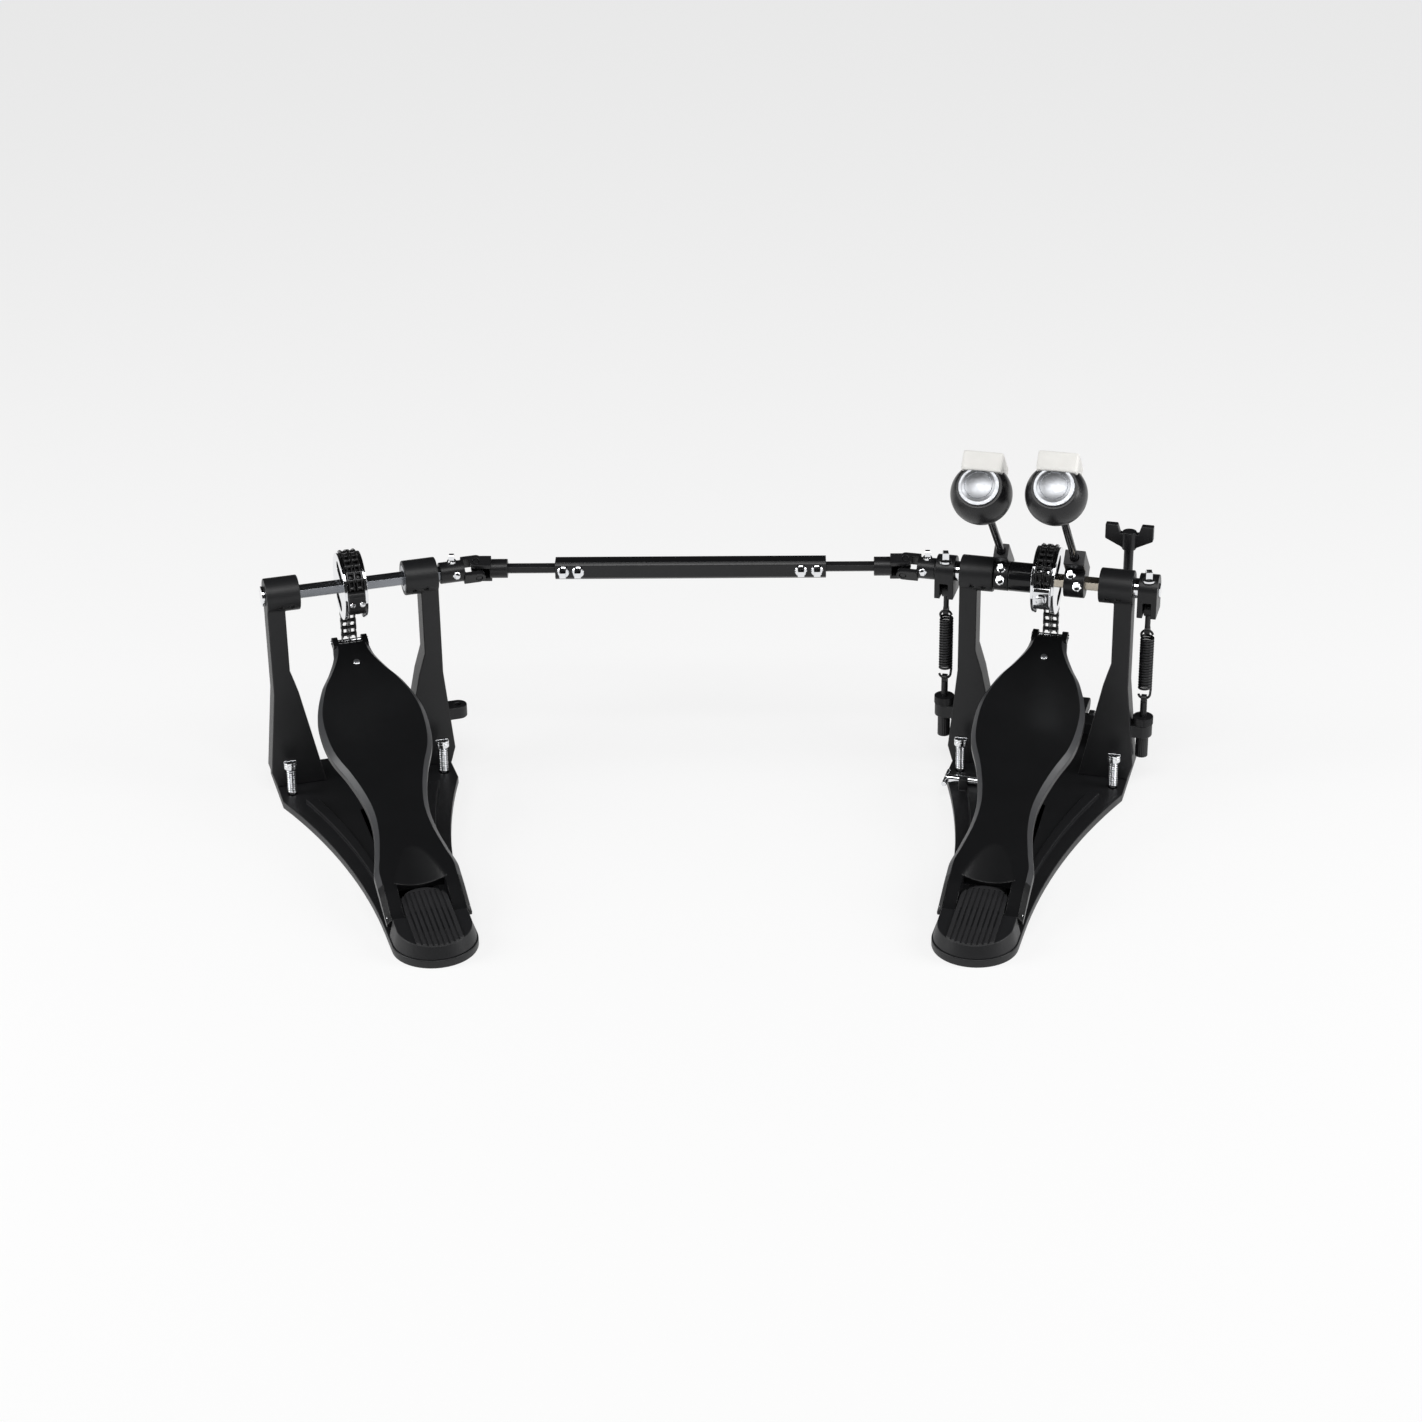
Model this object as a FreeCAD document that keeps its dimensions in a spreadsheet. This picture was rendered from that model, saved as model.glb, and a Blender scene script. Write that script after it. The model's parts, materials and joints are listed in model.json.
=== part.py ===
import FreeCAD, Part
import math
import os
import Sketcher
from FreeCAD import Vector

# Double bass drum pedal: two pedals that share one pair of beaters through a telescopic link shaft.
# X runs along the link shaft, +Y towards the drum, +Z up. The origin lies on the floor under the middle
# of the main (right) pedal's shaft. Each pedal is drawn in its own frame: x along its shaft, y to the drum.
doc = FreeCAD.newDocument("double_pedal")
sheet = doc.addObject("Spreadsheet::Sheet", "sizes")

# Driving dimensions in millimetres and degrees
driving = {
    # Layout of the two pedals and the link between them
    "shaft_height": 180.0,
    "main_toe_out": 14.0,
    "slave_toe_out": 17.0,
    "main_reach": 120.0,
    "slave_reach": 107.0,
    "link_length": 358.0,
    # Base plate and heel
    "base_thickness": 7.0,
    "base_front": 30.0,
    "wing_half": 75.0,
    "wing_back": 36.0,
    "flare_radius": 690.0,
    "tail_half": 34.0,
    "heel_centre": 295.0,
    "rib_inset": 9.0,
    "rib_width": 5.0,
    "rib_height": 3.5,
    "channel_half": 15.0,
    "channel_depth": 2.5,
    "channel_front": 70.0,
    "channel_back": 225.0,
    "tongue_half": 30.0,
    "tongue_front": 92.0,
    "heel_top": 21.5,
    "heel_inset": 1.0,
    "hinge_back": 272.0,
    "hinge_height": 17.0,
    "hinge_pin": 5.0,
    "knuckle": 15.0,
    "shoulder_gap": 1.2,
    "heel_tongue_half": 18.5,
    "heel_tongue_front": 244.0,
    "pad_thickness": 3.0,
    "pad_inset": 4.5,
    "groove_width": 1.6,
    "groove_depth": 1.2,
    "groove_pitch": 4.2,
    # Posts
    "post_outer": 72.0,
    "post_inner": 57.0,
    "post_depth": 20.0,
    "gusset_height": 93.0,
    "gusset_inner": 51.0,
    "foot_inner": 33.0,
    "foot_outer": 79.0,
    "foot_flare": 21.0,
    "housing_inner": 44.0,
    "housing_diameter": 29.0,
    "fin_depth": 11.0,
    "fin_radius": 30.0,
    "fin_width": 9.0,
    "bearing_outer": 22.0,
    "bearing_width": 8.0,
    "ear_height": 46.0,
    "ear_thickness": 11.0,
    "ear_radius": 8.0,
    "spring_offset": 84.5,
    # Shafts and cam
    "shaft_across": 11.0,
    "stub_diameter": 9.0,
    "stub_length": 19.0,
    "sleeve_diameter": 24.6,
    "sleeve_end": 31.0,
    "sleeve_gap": 0.8,
    "shaft_end": 94.0,
    "aux_end": 106.0,
    "collar_diameter": 17.0,
    "cam_half": 9.6,
    "cheek_width": 2.4,
    "cheek_radius": 28.0,
    "cam_slot": 10.0,
    "cam_slot_length": 14.0,
    "anchor_height": 13.0,
    "anchor_length": 13.0,
    # Duplex roller chain
    "chain_pitch": 6.35,
    "chain_radius": 27.0,
    "strand_offset": 3.2,
    "roller_diameter": 3.3,
    "roller_width": 3.0,
    "plate_height": 5.6,
    "plate_thickness": 0.75,
    "chain_pin": 2.0,
    "chain_fit": 0.12,
    "toe_pin": 3.6,
    "toe_slot_back": 2.9,
    "toe_slot_front": 2.1,
    # Footboard
    "board_slope": 17.8,
    "board_thickness": 10.0,
    "board_skin": 4.5,
    "board_wall": 4.5,
    "bevel_height": 4.5,
    "bevel_angle": 42.0,
    "toe_half": 15.0,
    "toe_end": 305.0,
    "toe_neck": 284.0,
    "belly_half": 45.0,
    "belly_at": 190.0,
    "waist_half": 24.5,
    "lug_width": 5.0,
    "lug_radius": 6.2,
    # Beaters and their holders
    "lean": 47.0,
    "right_holder_at": 23.4,
    "right_holder_width": 17.0,
    "left_holder_at": 37.4,
    "left_holder_width": 12.0,
    "holder_diameter": 25.0,
    "rod_offset": 12.5,
    "rod_diameter": 6.4,
    "rod_tail": 34.0,
    "right_beater_reach": 174.0,
    "left_beater_reach": 160.0,
    "ball_diameter": 49.0,
    "cap_diameter": 32.0,
    "cap_seat": 16.5,
    "felt_half": 16.0,
    "felt_inner": 12.5,
    "felt_outer": 29.0,
    "felt_back": 15.0,
    "felt_front": 19.0,
    # Springs, rockers, hangers and tension rods
    "rocker_width": 16.0,
    "rocker_radius": 13.0,
    "rocker_drop": 21.0,
    "arm_radius": 17.0,
    "rocker_slot": 6.8,
    "rocker_pin": 4.4,
    "hanger_eye_play": 2.4,
    "hanger_diameter": 4.6,
    "coil_radius": 4.9,
    "wire_diameter": 1.8,
    "coil_pitch": 2.55,
    "upper_eye": 143.0,
    "lower_eye": 80.0,
    "eye_radius": 3.6,
    "eye_width": 4.4,
    "tension_rod": 5.6,
    "wheel_diameter": 17.0,
    "wheel_height": 6.5,
    "nut_diameter": 10.6,
    "nut_height": 19.0,
    # Universal joints and link shaft
    "joint_phase": 27.0,
    "cross_pin": 5.0,
    "cross_half": 10.2,
    "cross_block": 10.0,
    "fork_inner": 6.4,
    "fork_radius": 5.4,
    "fork_root": 11.5,
    "hub_radius": 9.0,
    "yoke_radius": 8.0,
    "yoke_length": 26.0,
    "link_rod_across": 8.0,
    "rod_grip": 45.0,
    "tube_across": 15.6,
    "tube_chamfer": 2.4,
    "tube_length": 226.0,
    # Hoop clamp, spurs and drum key
    "jaw_half": 27.0,
    "jaw_pivot": 64.0,
    "jaw_height": 25.0,
    "jaw_front": 88.0,
    "jaw_thickness": 11.0,
    "jaw_pin": 6.0,
    "bolt_at": 60.0,
    "bolt_forward": 47.0,
    "bolt_diameter": 8.0,
    "bolt_top": 196.0,
    "wing_span": 40.0,
    "wing_rise": 20.0,
    "wing_thickness": 6.5,
    "spur_at": 65.0,
    "spur_back": 25.0,
    "spur_diameter": 7.6,
    "spur_top": 34.0,
    "key_back": 54.0,
    "key_at": 56.0,
    "key_diameter": 7.0,
    "key_length": 30.0,
    # Clearances
    "fit": 0.08,
    "running": 0.2,
    "room": 0.4,
}
for row, (alias, value) in enumerate(driving.items(), 1):
    sheet.set(f"A{row}", alias)
    sheet.set(f"B{row}", str(value))
    sheet.setAlias(f"B{row}", alias)
doc.recompute()


# A number that remembers the formula by which it follows from the cells of the sheet
class Size(float):
    def __new__(cls, value, text):
        size = super().__new__(cls, value)
        size.text = text
        return size

    def __add__(self, other):
        return Size(float(self) + float(other), f"({self.text} + {text_of(other)})")

    def __sub__(self, other):
        return Size(float(self) - float(other), f"({self.text} - {text_of(other)})")

    def __mul__(self, other):
        return Size(float(self) * float(other), f"({self.text} * {text_of(other)})")

    def __truediv__(self, other):
        return Size(float(self) / float(other), f"({self.text} / {text_of(other)})")

    def __rsub__(self, other):
        return Size(float(other) - float(self), f"({text_of(other)} - {self.text})")

    def __neg__(self):
        return Size(-float(self), f"(0 - {self.text})")

    __radd__ = __add__
    __rmul__ = __mul__


def text_of(number):
    return number.text if isinstance(number, Size) else f"{float(number):.9f}"


def cosine(angle):
    return Size(math.cos(math.radians(angle)), f"cos({text_of(angle)} * 1 deg)")


def sine(angle):
    return Size(math.sin(math.radians(angle)), f"sin({text_of(angle)} * 1 deg)")


def root(number):
    return Size(math.sqrt(number), f"sqrt({text_of(number)})")


class Sizes:
    pass


s = Sizes()
for alias, value in driving.items():
    setattr(s, alias, Size(value, f"sizes.{alias}"))


# Placements, written as formulas so that they follow the sheet too
def at(x=0.0, y=0.0, z=0.0, spin="", angle=0.0):
    turn = f"rotation{spin}({text_of(angle)})" if spin else "rotationz(0)"
    return f"placement(vector({text_of(x)}; {text_of(y)}; {text_of(z)}); {turn})"


def put(thing, *frames):
    thing.setExpression("Placement", " * ".join(frames))
    return thing


def add(kind, **properties):
    thing = doc.addObject(f"Part::{kind}", kind.lower())
    for name, value in properties.items():
        if isinstance(value, Size):
            thing.setExpression(name, value.text)
        else:
            setattr(thing, name, value)
    return thing


# Primitives, given by their limits along x, y and z
def box(x, y, z):
    block = add("Box", Length=x[1] - x[0], Width=y[1] - y[0], Height=z[1] - z[0])
    return put(block, at(x[0], y[0], z[0]))


def rod_x(radius, x, y=0.0, z=0.0):
    return put(add("Cylinder", Radius=radius, Height=x[1] - x[0]), at(x[0], y, z, "y", 90))


def rod_y(radius, y, x=0.0, z=0.0):
    return put(add("Cylinder", Radius=radius, Height=y[1] - y[0]), at(x, y[0], z, "x", -90))


def rod_z(radius, z, x=0.0, y=0.0):
    return put(add("Cylinder", Radius=radius, Height=z[1] - z[0]), at(x, y, z[0]))


def hex_x(across, x, roll=0.0):
    corner = across / math.sqrt(3)
    bar = add("Prism", Polygon=6, Circumradius=corner, Height=x[1] - x[0])
    return put(bar, at(x[0], 0.0, 0.0, "x", roll), at(0.0, 0.0, 0.0, "y", 90))


def ball(radius, x=0.0, y=0.0, z=0.0):
    return put(add("Sphere", Radius=radius), at(x, y, z))


def join(*pieces):
    return add("MultiFuse", Shapes=list(pieces))


def cut(base, *tools):
    return add("Cut", Base=base, Tool=tools[0] if len(tools) == 1 else join(*tools))


def common(first, second):
    return add("Common", Base=first, Tool=second)


# A closed sketch from a list of corners. A corner may carry the radius of the arc that leads to the next
# corner: positive when the arc turns left, negative when it turns right.
def outline(frame, corners):
    sketch = doc.addObject("Sketcher::SketchObject", "outline")
    spots = [Vector(float(corner[0]), float(corner[1]), 0) for corner in corners]
    starts = []
    for index, corner in enumerate(corners):
        here, there = spots[index], spots[(index + 1) % len(spots)]
        if len(corner) == 2:
            starts.append((sketch.addGeometry(Part.LineSegment(here, there)), 1, 2))
            continue
        turn = math.copysign(1.0, corner[2])
        size = corner[2] * turn
        half = (there - here) * 0.5
        rise = math.sqrt(float(size) ** 2 - half.Length ** 2)
        centre = here + half + Vector(-half.y, half.x, 0).normalize() * rise * turn
        ends = (here, there) if turn > 0 else (there, here)
        angles = [math.atan2(end.y - centre.y, end.x - centre.x) for end in ends]
        arc = Part.ArcOfCircle(Part.Circle(centre, Vector(0, 0, 1), float(size)), *angles)
        number = sketch.addGeometry(arc)
        starts.append((number, 1, 2) if turn > 0 else (number, 2, 1))
        rule = sketch.addConstraint(Sketcher.Constraint("Radius", number, float(size)))
        sketch.setExpression(f"Constraints[{rule}]", text_of(size))
    for index, corner in enumerate(corners):
        number, first, last = starts[index]
        follower, begin, _ = starts[(index + 1) % len(starts)]
        sketch.addConstraint(Sketcher.Constraint("Coincident", number, last, follower, begin))
        for axis, value, along in (("DistanceX", corner[0], -2), ("DistanceY", corner[1], -1)):
            if float(value) == 0.0:
                sketch.addConstraint(Sketcher.Constraint("PointOnObject", number, first, along))
                continue
            rule = sketch.addConstraint(Sketcher.Constraint(axis, -1, 1, number, first, float(value)))
            sketch.setExpression(f"Constraints[{rule}]", text_of(value))
    return put(sketch, frame)


# Corners on the right half, mirrored to the left half, as one closed list from back to front and round
def mirrored(right):
    left = []
    for index in range(len(right) - 1, -1, -1):
        corner = right[index]
        lead = right[index - 1][2:] if index else ()
        left.append((-corner[0], corner[1]) + tuple(lead))
    return right + left


def extrude(sketch, length, taper=0.0, both=False):
    return add("Extrusion", Base=sketch, DirMode="Normal", Solid=True, LengthFwd=length,
               TaperAngle=taper, Symmetric=both)


nodes = []


# A finished piece: its name, and the frame that carries it
def node(name, thing, *frames):
    thing.Label = name
    if frames:
        put(thing, *frames)
    nodes.append(thing)
    return thing


# Frames of the two pedals, of their shafts and of the link
slave_x = -(s.main_reach * cosine(s.main_toe_out) + s.link_length + s.slave_reach * cosine(s.slave_toe_out))
slave_y = s.main_reach * sine(s.main_toe_out) - s.slave_reach * sine(s.slave_toe_out)
main = at(0.0, 0.0, 0.0, "z", -s.main_toe_out)
slave = at(slave_x, slave_y, 0.0, "z", s.slave_toe_out)
on_shaft = at(0.0, 0.0, s.shaft_height)
leaning = at(0.0, 0.0, s.shaft_height, "x", s.lean)
pedals = (("main", main), ("slave", slave))


# Base plate: wings that sweep in to a round heel, two raised ribs and a sunk channel under the footboard
def base_plate(name, frame):
    right = [
        (s.tail_half, -s.heel_centre),
        (s.tail_half, -s.hinge_back, -s.flare_radius),
        (s.wing_half, -s.wing_back),
        (s.wing_half, s.base_front),
    ]
    crown = (0.0, -s.heel_centre - s.tail_half, s.tail_half)
    corners = [(-s.tail_half, -s.heel_centre, s.tail_half), crown] + mirrored(right)[:-1]
    plate = extrude(outline(at(), corners), s.base_thickness)
    ribs = [rib(side) for side in (1, -1)]
    channel = box((-s.channel_half, s.channel_half), (-s.channel_back, -s.channel_front),
                  (s.base_thickness - s.channel_depth, s.base_thickness + s.rib_height))
    spur_holes = [rod_z(s.spur_diameter / 2 + s.fit, (0.0, s.base_thickness + s.rib_height),
                        side * s.spur_at, -s.spur_back) for side in (1, -1)]
    solids = [plate] + ribs
    holes = [channel] + spur_holes
    if name == "main":
        solids += [hoop_tongue(), key_clip()]
        holes += [jaw_pin_hole(), key_hole()]
    node(f"{name}_base_plate", cut(join(*solids), *holes), frame)


# A rib that follows the sweep of the wing's edge
def rib(side):
    outer = s.rib_inset
    inner = s.rib_inset + s.rib_width
    front, back = -s.wing_back - s.rib_inset, -s.hinge_back + s.rib_inset * 3
    corners = [
        (side * (s.tail_half - outer), back, s.flare_radius * -side),
        (side * (s.wing_half - outer * 2), front),
        (side * (s.wing_half - inner * 2), front, s.flare_radius * side),
        (side * (s.tail_half - inner), back),
    ]
    return extrude(outline(at(0.0, 0.0, s.base_thickness), corners), s.rib_height)


# Front tongue that goes under the drum's hoop, with two lugs for the clamp jaw
def hoop_tongue():
    tongue = box((-s.tongue_half - s.lug_width, s.tongue_half + s.lug_width),
                 (s.base_front - 1.0, s.tongue_front), (0.0, s.base_thickness))
    pad = box((s.bolt_at - s.bolt_diameter, s.wing_half), (s.base_front - 1.0, s.bolt_forward + s.bolt_diameter),
              (0.0, s.base_thickness))
    lugs = []
    for side in (1, -1):
        span = sorted((side * s.tongue_half, side * (s.tongue_half + s.lug_width)))
        lugs.append(box(span, (s.jaw_pivot - s.jaw_pin, s.jaw_pivot + s.jaw_pin), (0.0, s.jaw_height)))
        lugs.append(rod_x(s.jaw_pin, span, s.jaw_pivot, s.jaw_height))
    return join(tongue, pad, *lugs)


def jaw_pin_hole():
    edge = s.tongue_half + s.lug_width
    return rod_x(s.jaw_pin / 2 + s.running, (-edge, edge), s.jaw_pivot, s.jaw_height)


# Clip on the base's left wing that holds the drum key
def key_clip():
    rim = s.key_diameter
    return box((-s.key_at - rim / 2, -s.key_at + rim / 2), (-s.key_back - rim, -s.key_back + rim),
               (0.0, s.base_thickness + rim + rim / 2))


def key_hole():
    return rod_x(s.key_diameter / 2 + s.running, (-s.key_at - s.key_diameter, -s.key_at + s.key_diameter),
                 -s.key_back, s.base_thickness + s.key_diameter)


# Heel plate: round end, shoulders behind the footboard's prongs and a tongue between them with the pin hole
def heel_plate(name, frame):
    edge = s.tail_half - s.heel_inset
    shoulder = -(s.hinge_back + s.knuckle / 2 + s.shoulder_gap)
    bend = s.heel_tongue_front + s.heel_tongue_half
    corners = [
        (-edge, -s.heel_centre, edge),
        (0.0, -s.heel_centre - edge, edge),
        (edge, -s.heel_centre),
        (edge, shoulder),
        (s.heel_tongue_half, shoulder),
        (s.heel_tongue_half, -bend, s.heel_tongue_half),
        (0.0, -s.heel_tongue_front, s.heel_tongue_half),
        (-s.heel_tongue_half, -bend),
        (-s.heel_tongue_half, shoulder),
        (-edge, shoulder),
    ]
    plate = extrude(outline(at(0.0, 0.0, s.base_thickness), corners), s.heel_top - s.base_thickness)
    pin_hole = rod_x(s.hinge_pin / 2 + s.fit, (-s.tail_half, s.tail_half), -s.hinge_back, s.hinge_height)
    node(f"{name}_heel_plate", cut(plate, pin_hole), frame)


# Ridged pad on the heel plate, with an arched front and lengthwise grooves
def heel_pad(name, frame):
    half = s.heel_tongue_half
    bend = s.heel_tongue_front + s.heel_tongue_half
    round_end = s.tail_half - s.pad_inset
    back = -s.heel_centre - root(round_end * round_end - half * half)
    corners = [
        (-half, back, round_end),
        (half, back),
        (half, -bend, half),
        (0.0, -s.heel_tongue_front, half),
        (-half, -bend),
    ]
    pad = extrude(outline(at(0.0, 0.0, s.heel_top), corners), s.pad_thickness)
    top = s.heel_top + s.pad_thickness
    grooves = []
    for step in range(-3, 5):
        middle = s.groove_pitch * (step - 0.5)
        grooves.append(box((middle - s.groove_width / 2, middle + s.groove_width / 2),
                           (-s.heel_centre - s.tail_half, -s.heel_tongue_front - s.pad_inset),
                           (top - s.groove_depth, top)))
    node(f"{name}_heel_pad", cut(pad, *grooves), frame)


# Post: column with a gusset to the base, lobed fin on the drum side, shaft housing and spring ear
def post(name, frame, side, ear):
    label = f"{name}_{'right' if side > 0 else 'left'}_post"
    corners = [
        (side * s.post_inner, s.shaft_height),
        (side * s.post_inner, s.gusset_height + s.post_depth),
        (side * s.gusset_inner, s.gusset_height),
        (side * s.foot_inner, s.base_thickness),
        (side * s.wing_half, s.base_thickness),
        (side * s.foot_outer, s.foot_flare),
        (side * s.post_outer, s.gusset_height),
        (side * s.post_outer, s.shaft_height),
    ]
    column = extrude(outline(at(0.0, 0.0, 0.0, "x", 90), corners), s.post_depth, both=True)
    housing_span = sorted((side * s.housing_inner, side * s.post_outer))
    solids = [column, fin(side), rod_x(s.housing_diameter / 2, housing_span, 0.0, s.shaft_height)]
    seat = sorted((side * s.housing_inner, side * (s.housing_inner + s.bearing_width)))
    holes = [
        rod_x(s.shaft_across / 2 + 2.0, housing_span, 0.0, s.shaft_height),
        rod_x(s.bearing_outer / 2, seat, 0.0, s.shaft_height),
    ]
    for step in (0.25, 0.6):
        spot = side * (s.housing_inner + (s.post_outer - s.housing_inner) * step)
        holes.append(rod_y(s.running * 8, (-s.housing_diameter / 2, -s.bearing_outer / 2 + 1.0), spot,
                           s.shaft_height - s.housing_diameter / 4))
    if ear:
        reach = sorted((side * (s.post_inner + s.fin_width), side * s.spring_offset))
        levels = (s.ear_height, s.ear_height + s.ear_thickness)
        solids.append(box(reach, (-s.ear_radius, s.ear_radius), levels))
        solids.append(rod_z(s.ear_radius, levels, side * s.spring_offset))
        holes.append(rod_z(s.tension_rod / 2 + s.fit, levels, side * s.spring_offset))
    node(label, cut(join(*solids), *holes), frame)


# Fin of two lobes along the drum side of a post, running out into a foot on the base
def fin(side):
    near = s.post_depth / 2 - 1.0
    far = s.post_depth / 2
    top, middle = s.shaft_height - s.housing_diameter / 2, (s.shaft_height + s.gusset_height) / 2
    corners = [
        (near, top),
        (near, s.base_thickness),
        (far + s.fin_depth, s.base_thickness),
        (far, s.gusset_height - s.fin_depth, s.fin_radius),
        (far, middle - s.fin_depth / 2),
        (far, middle, s.fin_radius),
        (far, top - s.fin_depth / 2),
        (far, top),
    ]
    middle_x = side * (s.post_outer + s.post_inner) / 2
    frame = f"{at(middle_x)} * {at(0.0, 0.0, 0.0, 'z', 90)} * {at(0.0, 0.0, 0.0, 'x', 90)}"
    return extrude(outline(frame, corners), s.fin_width, both=True)


# Ball bearings, one in each housing, as rings round the shaft
def bearings():
    rings = []
    for name, frame in pedals:
        for side in (1, -1):
            seat = sorted((side * s.housing_inner, side * (s.housing_inner + s.bearing_width)))
            ring = cut(rod_x(s.bearing_outer / 2 - s.fit, seat, 0.0, s.shaft_height),
                       rod_x(s.shaft_across / math.sqrt(3) + s.running, seat, 0.0, s.shaft_height))
            rings.append(put(ring, frame))
    node("bearings", add("Compound", Links=rings))


def hinge_pins():
    pins = []
    for name, frame in pedals:
        pin = rod_x(s.hinge_pin / 2, (-s.tail_half + 1.0, s.tail_half - 1.0))
        pins.append(put(pin, frame, at(-s.tail_half + 1.0, -s.hinge_back, s.hinge_height, "y", 90)))
    node("hinge_pins", add("Compound", Links=pins))


# Floor spurs: key screws through the wings, with a square head above a collar
def spurs():
    screws = []
    for name, frame in pedals:
        for side in (1, -1):
            x = side * s.spur_at
            radius = s.spur_diameter / 2
            point = put(add("Cone", Radius1=s.running, Radius2=radius, Height=s.base_thickness / 2),
                        at(x, -s.spur_back, s.running))
            shank = rod_z(radius, (s.running + s.base_thickness / 2, s.spur_top), x, -s.spur_back)
            collar = rod_z(radius + 1.8, (s.spur_top - 5.0, s.spur_top - 1.0), x, -s.spur_back)
            head = box((x - radius * 0.7, x + radius * 0.7), (-s.spur_back - radius * 0.7,
                       -s.spur_back + radius * 0.7), (s.spur_top - 1.0, s.spur_top + 6.0))
            screws.append(put(join(point, shank, collar, head), frame))
    node("spurs", add("Compound", Links=screws))


# Footboard, drawn with the hinge axis as its origin: y runs up the board, z is square to it
run_links = 10
toe_y = s.chain_radius
toe_z = s.shaft_height - s.chain_pitch * run_links
lever_y = toe_y + s.hinge_back
lever_z = toe_z - s.hinge_height
toe_along = lever_y * cosine(s.board_slope) + lever_z * sine(s.board_slope)
toe_up = lever_z * cosine(s.board_slope) - lever_y * sine(s.board_slope)


def footboard_outline(level):
    root_half = s.tail_half
    right = [
        (root_half, 0.0),
        (root_half, 24.0, 40.0),
        (s.waist_half + 5.5, 45.0, -152.0),
        (s.belly_half - 11.4, 140.0, 119.0),
        (s.belly_half - 14.0, 247.0, -60.0),
        (s.toe_half + 2.0, s.toe_neck),
        (s.toe_half, s.toe_end),
    ]
    return outline(at(0.0, 0.0, level), mirrored(right))


def footboard(name, frame):
    top = s.knuckle / 2
    under = top - s.board_thickness
    rim = footboard_outline(under)
    wall = extrude(rim, s.board_thickness - s.bevel_height)
    bevel = extrude(footboard_outline(top - s.bevel_height), s.bevel_height, -s.bevel_angle)
    cavity_rim = add("Offset2D", Source=rim, Value=-s.board_wall)
    cavity = extrude(cavity_rim, s.board_thickness - s.board_skin)
    solids = [wall, bevel]
    notch_half = s.heel_tongue_half + s.room * 2
    for side in (1, -1):
        solids.append(rod_x(s.knuckle / 2, sorted((side * notch_half, side * s.tail_half))))
        lug = sorted((side * (s.toe_half - s.lug_width), side * s.toe_half))
        solids.append(box(lug, (s.toe_end - s.lug_width, toe_along),
                          (toe_up - s.lug_radius, toe_up + s.lug_radius)))
        solids.append(rod_x(s.lug_radius, lug, toe_along, toe_up))
    notch_end = s.hinge_back - s.heel_tongue_front - s.heel_tongue_half + s.room
    tall = (-s.knuckle, s.knuckle * 2)
    notch = join(box((-notch_half, notch_half), (-s.knuckle, notch_end), tall),
                 rod_z(notch_half, tall, 0.0, notch_end))
    scoop = ball(60.0, 0.0, notch_end + notch_half, top + 56.0)
    pin_hole = rod_x(s.hinge_pin / 2 + s.running, (-s.tail_half, s.tail_half))
    slot = box((-s.toe_half, s.toe_half),
               (toe_along - s.toe_pin / 2 - s.toe_slot_back, toe_along + s.toe_pin / 2 + s.toe_slot_front),
               (toe_up - s.toe_pin / 2 - s.room, toe_up + s.toe_pin / 2 + s.room))
    mouth = box((s.lug_width - s.toe_half, s.toe_half - s.lug_width), (s.toe_end - s.lug_width, toe_along + s.knuckle),
                tall)
    board = cut(join(*solids), cavity, notch, scoop, pin_hole, slot, mouth)
    node(f"{name}_footboard", board, frame, at(0.0, -s.hinge_back, s.hinge_height, "x", s.board_slope))


# Shafts: hexagonal bars with round collars outside the housings
def main_shaft():
    inner = -s.cam_half
    bar = hex_x(s.shaft_across, (inner, s.shaft_end))
    stub = rod_x(s.stub_diameter / 2, (inner - s.stub_length, inner))
    collar = rod_x(s.collar_diameter / 2, (s.post_outer + s.room, s.spring_offset - s.rocker_width / 2))
    node("main_shaft", join(bar, stub, collar), main, on_shaft)


def aux_shaft():
    mouth = -s.cam_half - s.sleeve_gap
    sleeve = rod_x(s.sleeve_diameter / 2, (-s.sleeve_end, mouth))
    bore = rod_x(s.stub_diameter / 2 + s.running, (-s.cam_half - s.stub_length - s.room, mouth))
    bar = hex_x(s.shaft_across, (-s.aux_end, -s.sleeve_end))
    collar = rod_x(s.collar_diameter / 2, (s.rocker_width / 2 - s.spring_offset, -s.post_outer - s.room))
    node("aux_shaft", join(cut(sleeve, bore), bar, collar), main, on_shaft)


def slave_shaft():
    bar = hex_x(s.shaft_across, (-s.post_outer - 2.0, s.slave_reach - s.fork_root - 3.0))
    cap = rod_x(s.collar_diameter / 2, (-s.post_outer - 3.0, -s.post_outer - s.room))
    node("slave_shaft", join(bar, cap), slave, on_shaft)


# Cam: a drum with two rails for the rollers between chrome cheeks, and the block that holds the chain's end
rail_radius = s.chain_radius - s.roller_diameter / 2 - s.room
drum_radius = s.chain_radius - s.plate_height / 2 - s.room
wrap_start = 4
wrap_links = 9
link_angle = 2 * math.degrees(math.asin(s.chain_pitch / (2 * s.chain_radius)))
anchor_angle = link_angle * (wrap_start + wrap_links)


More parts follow.
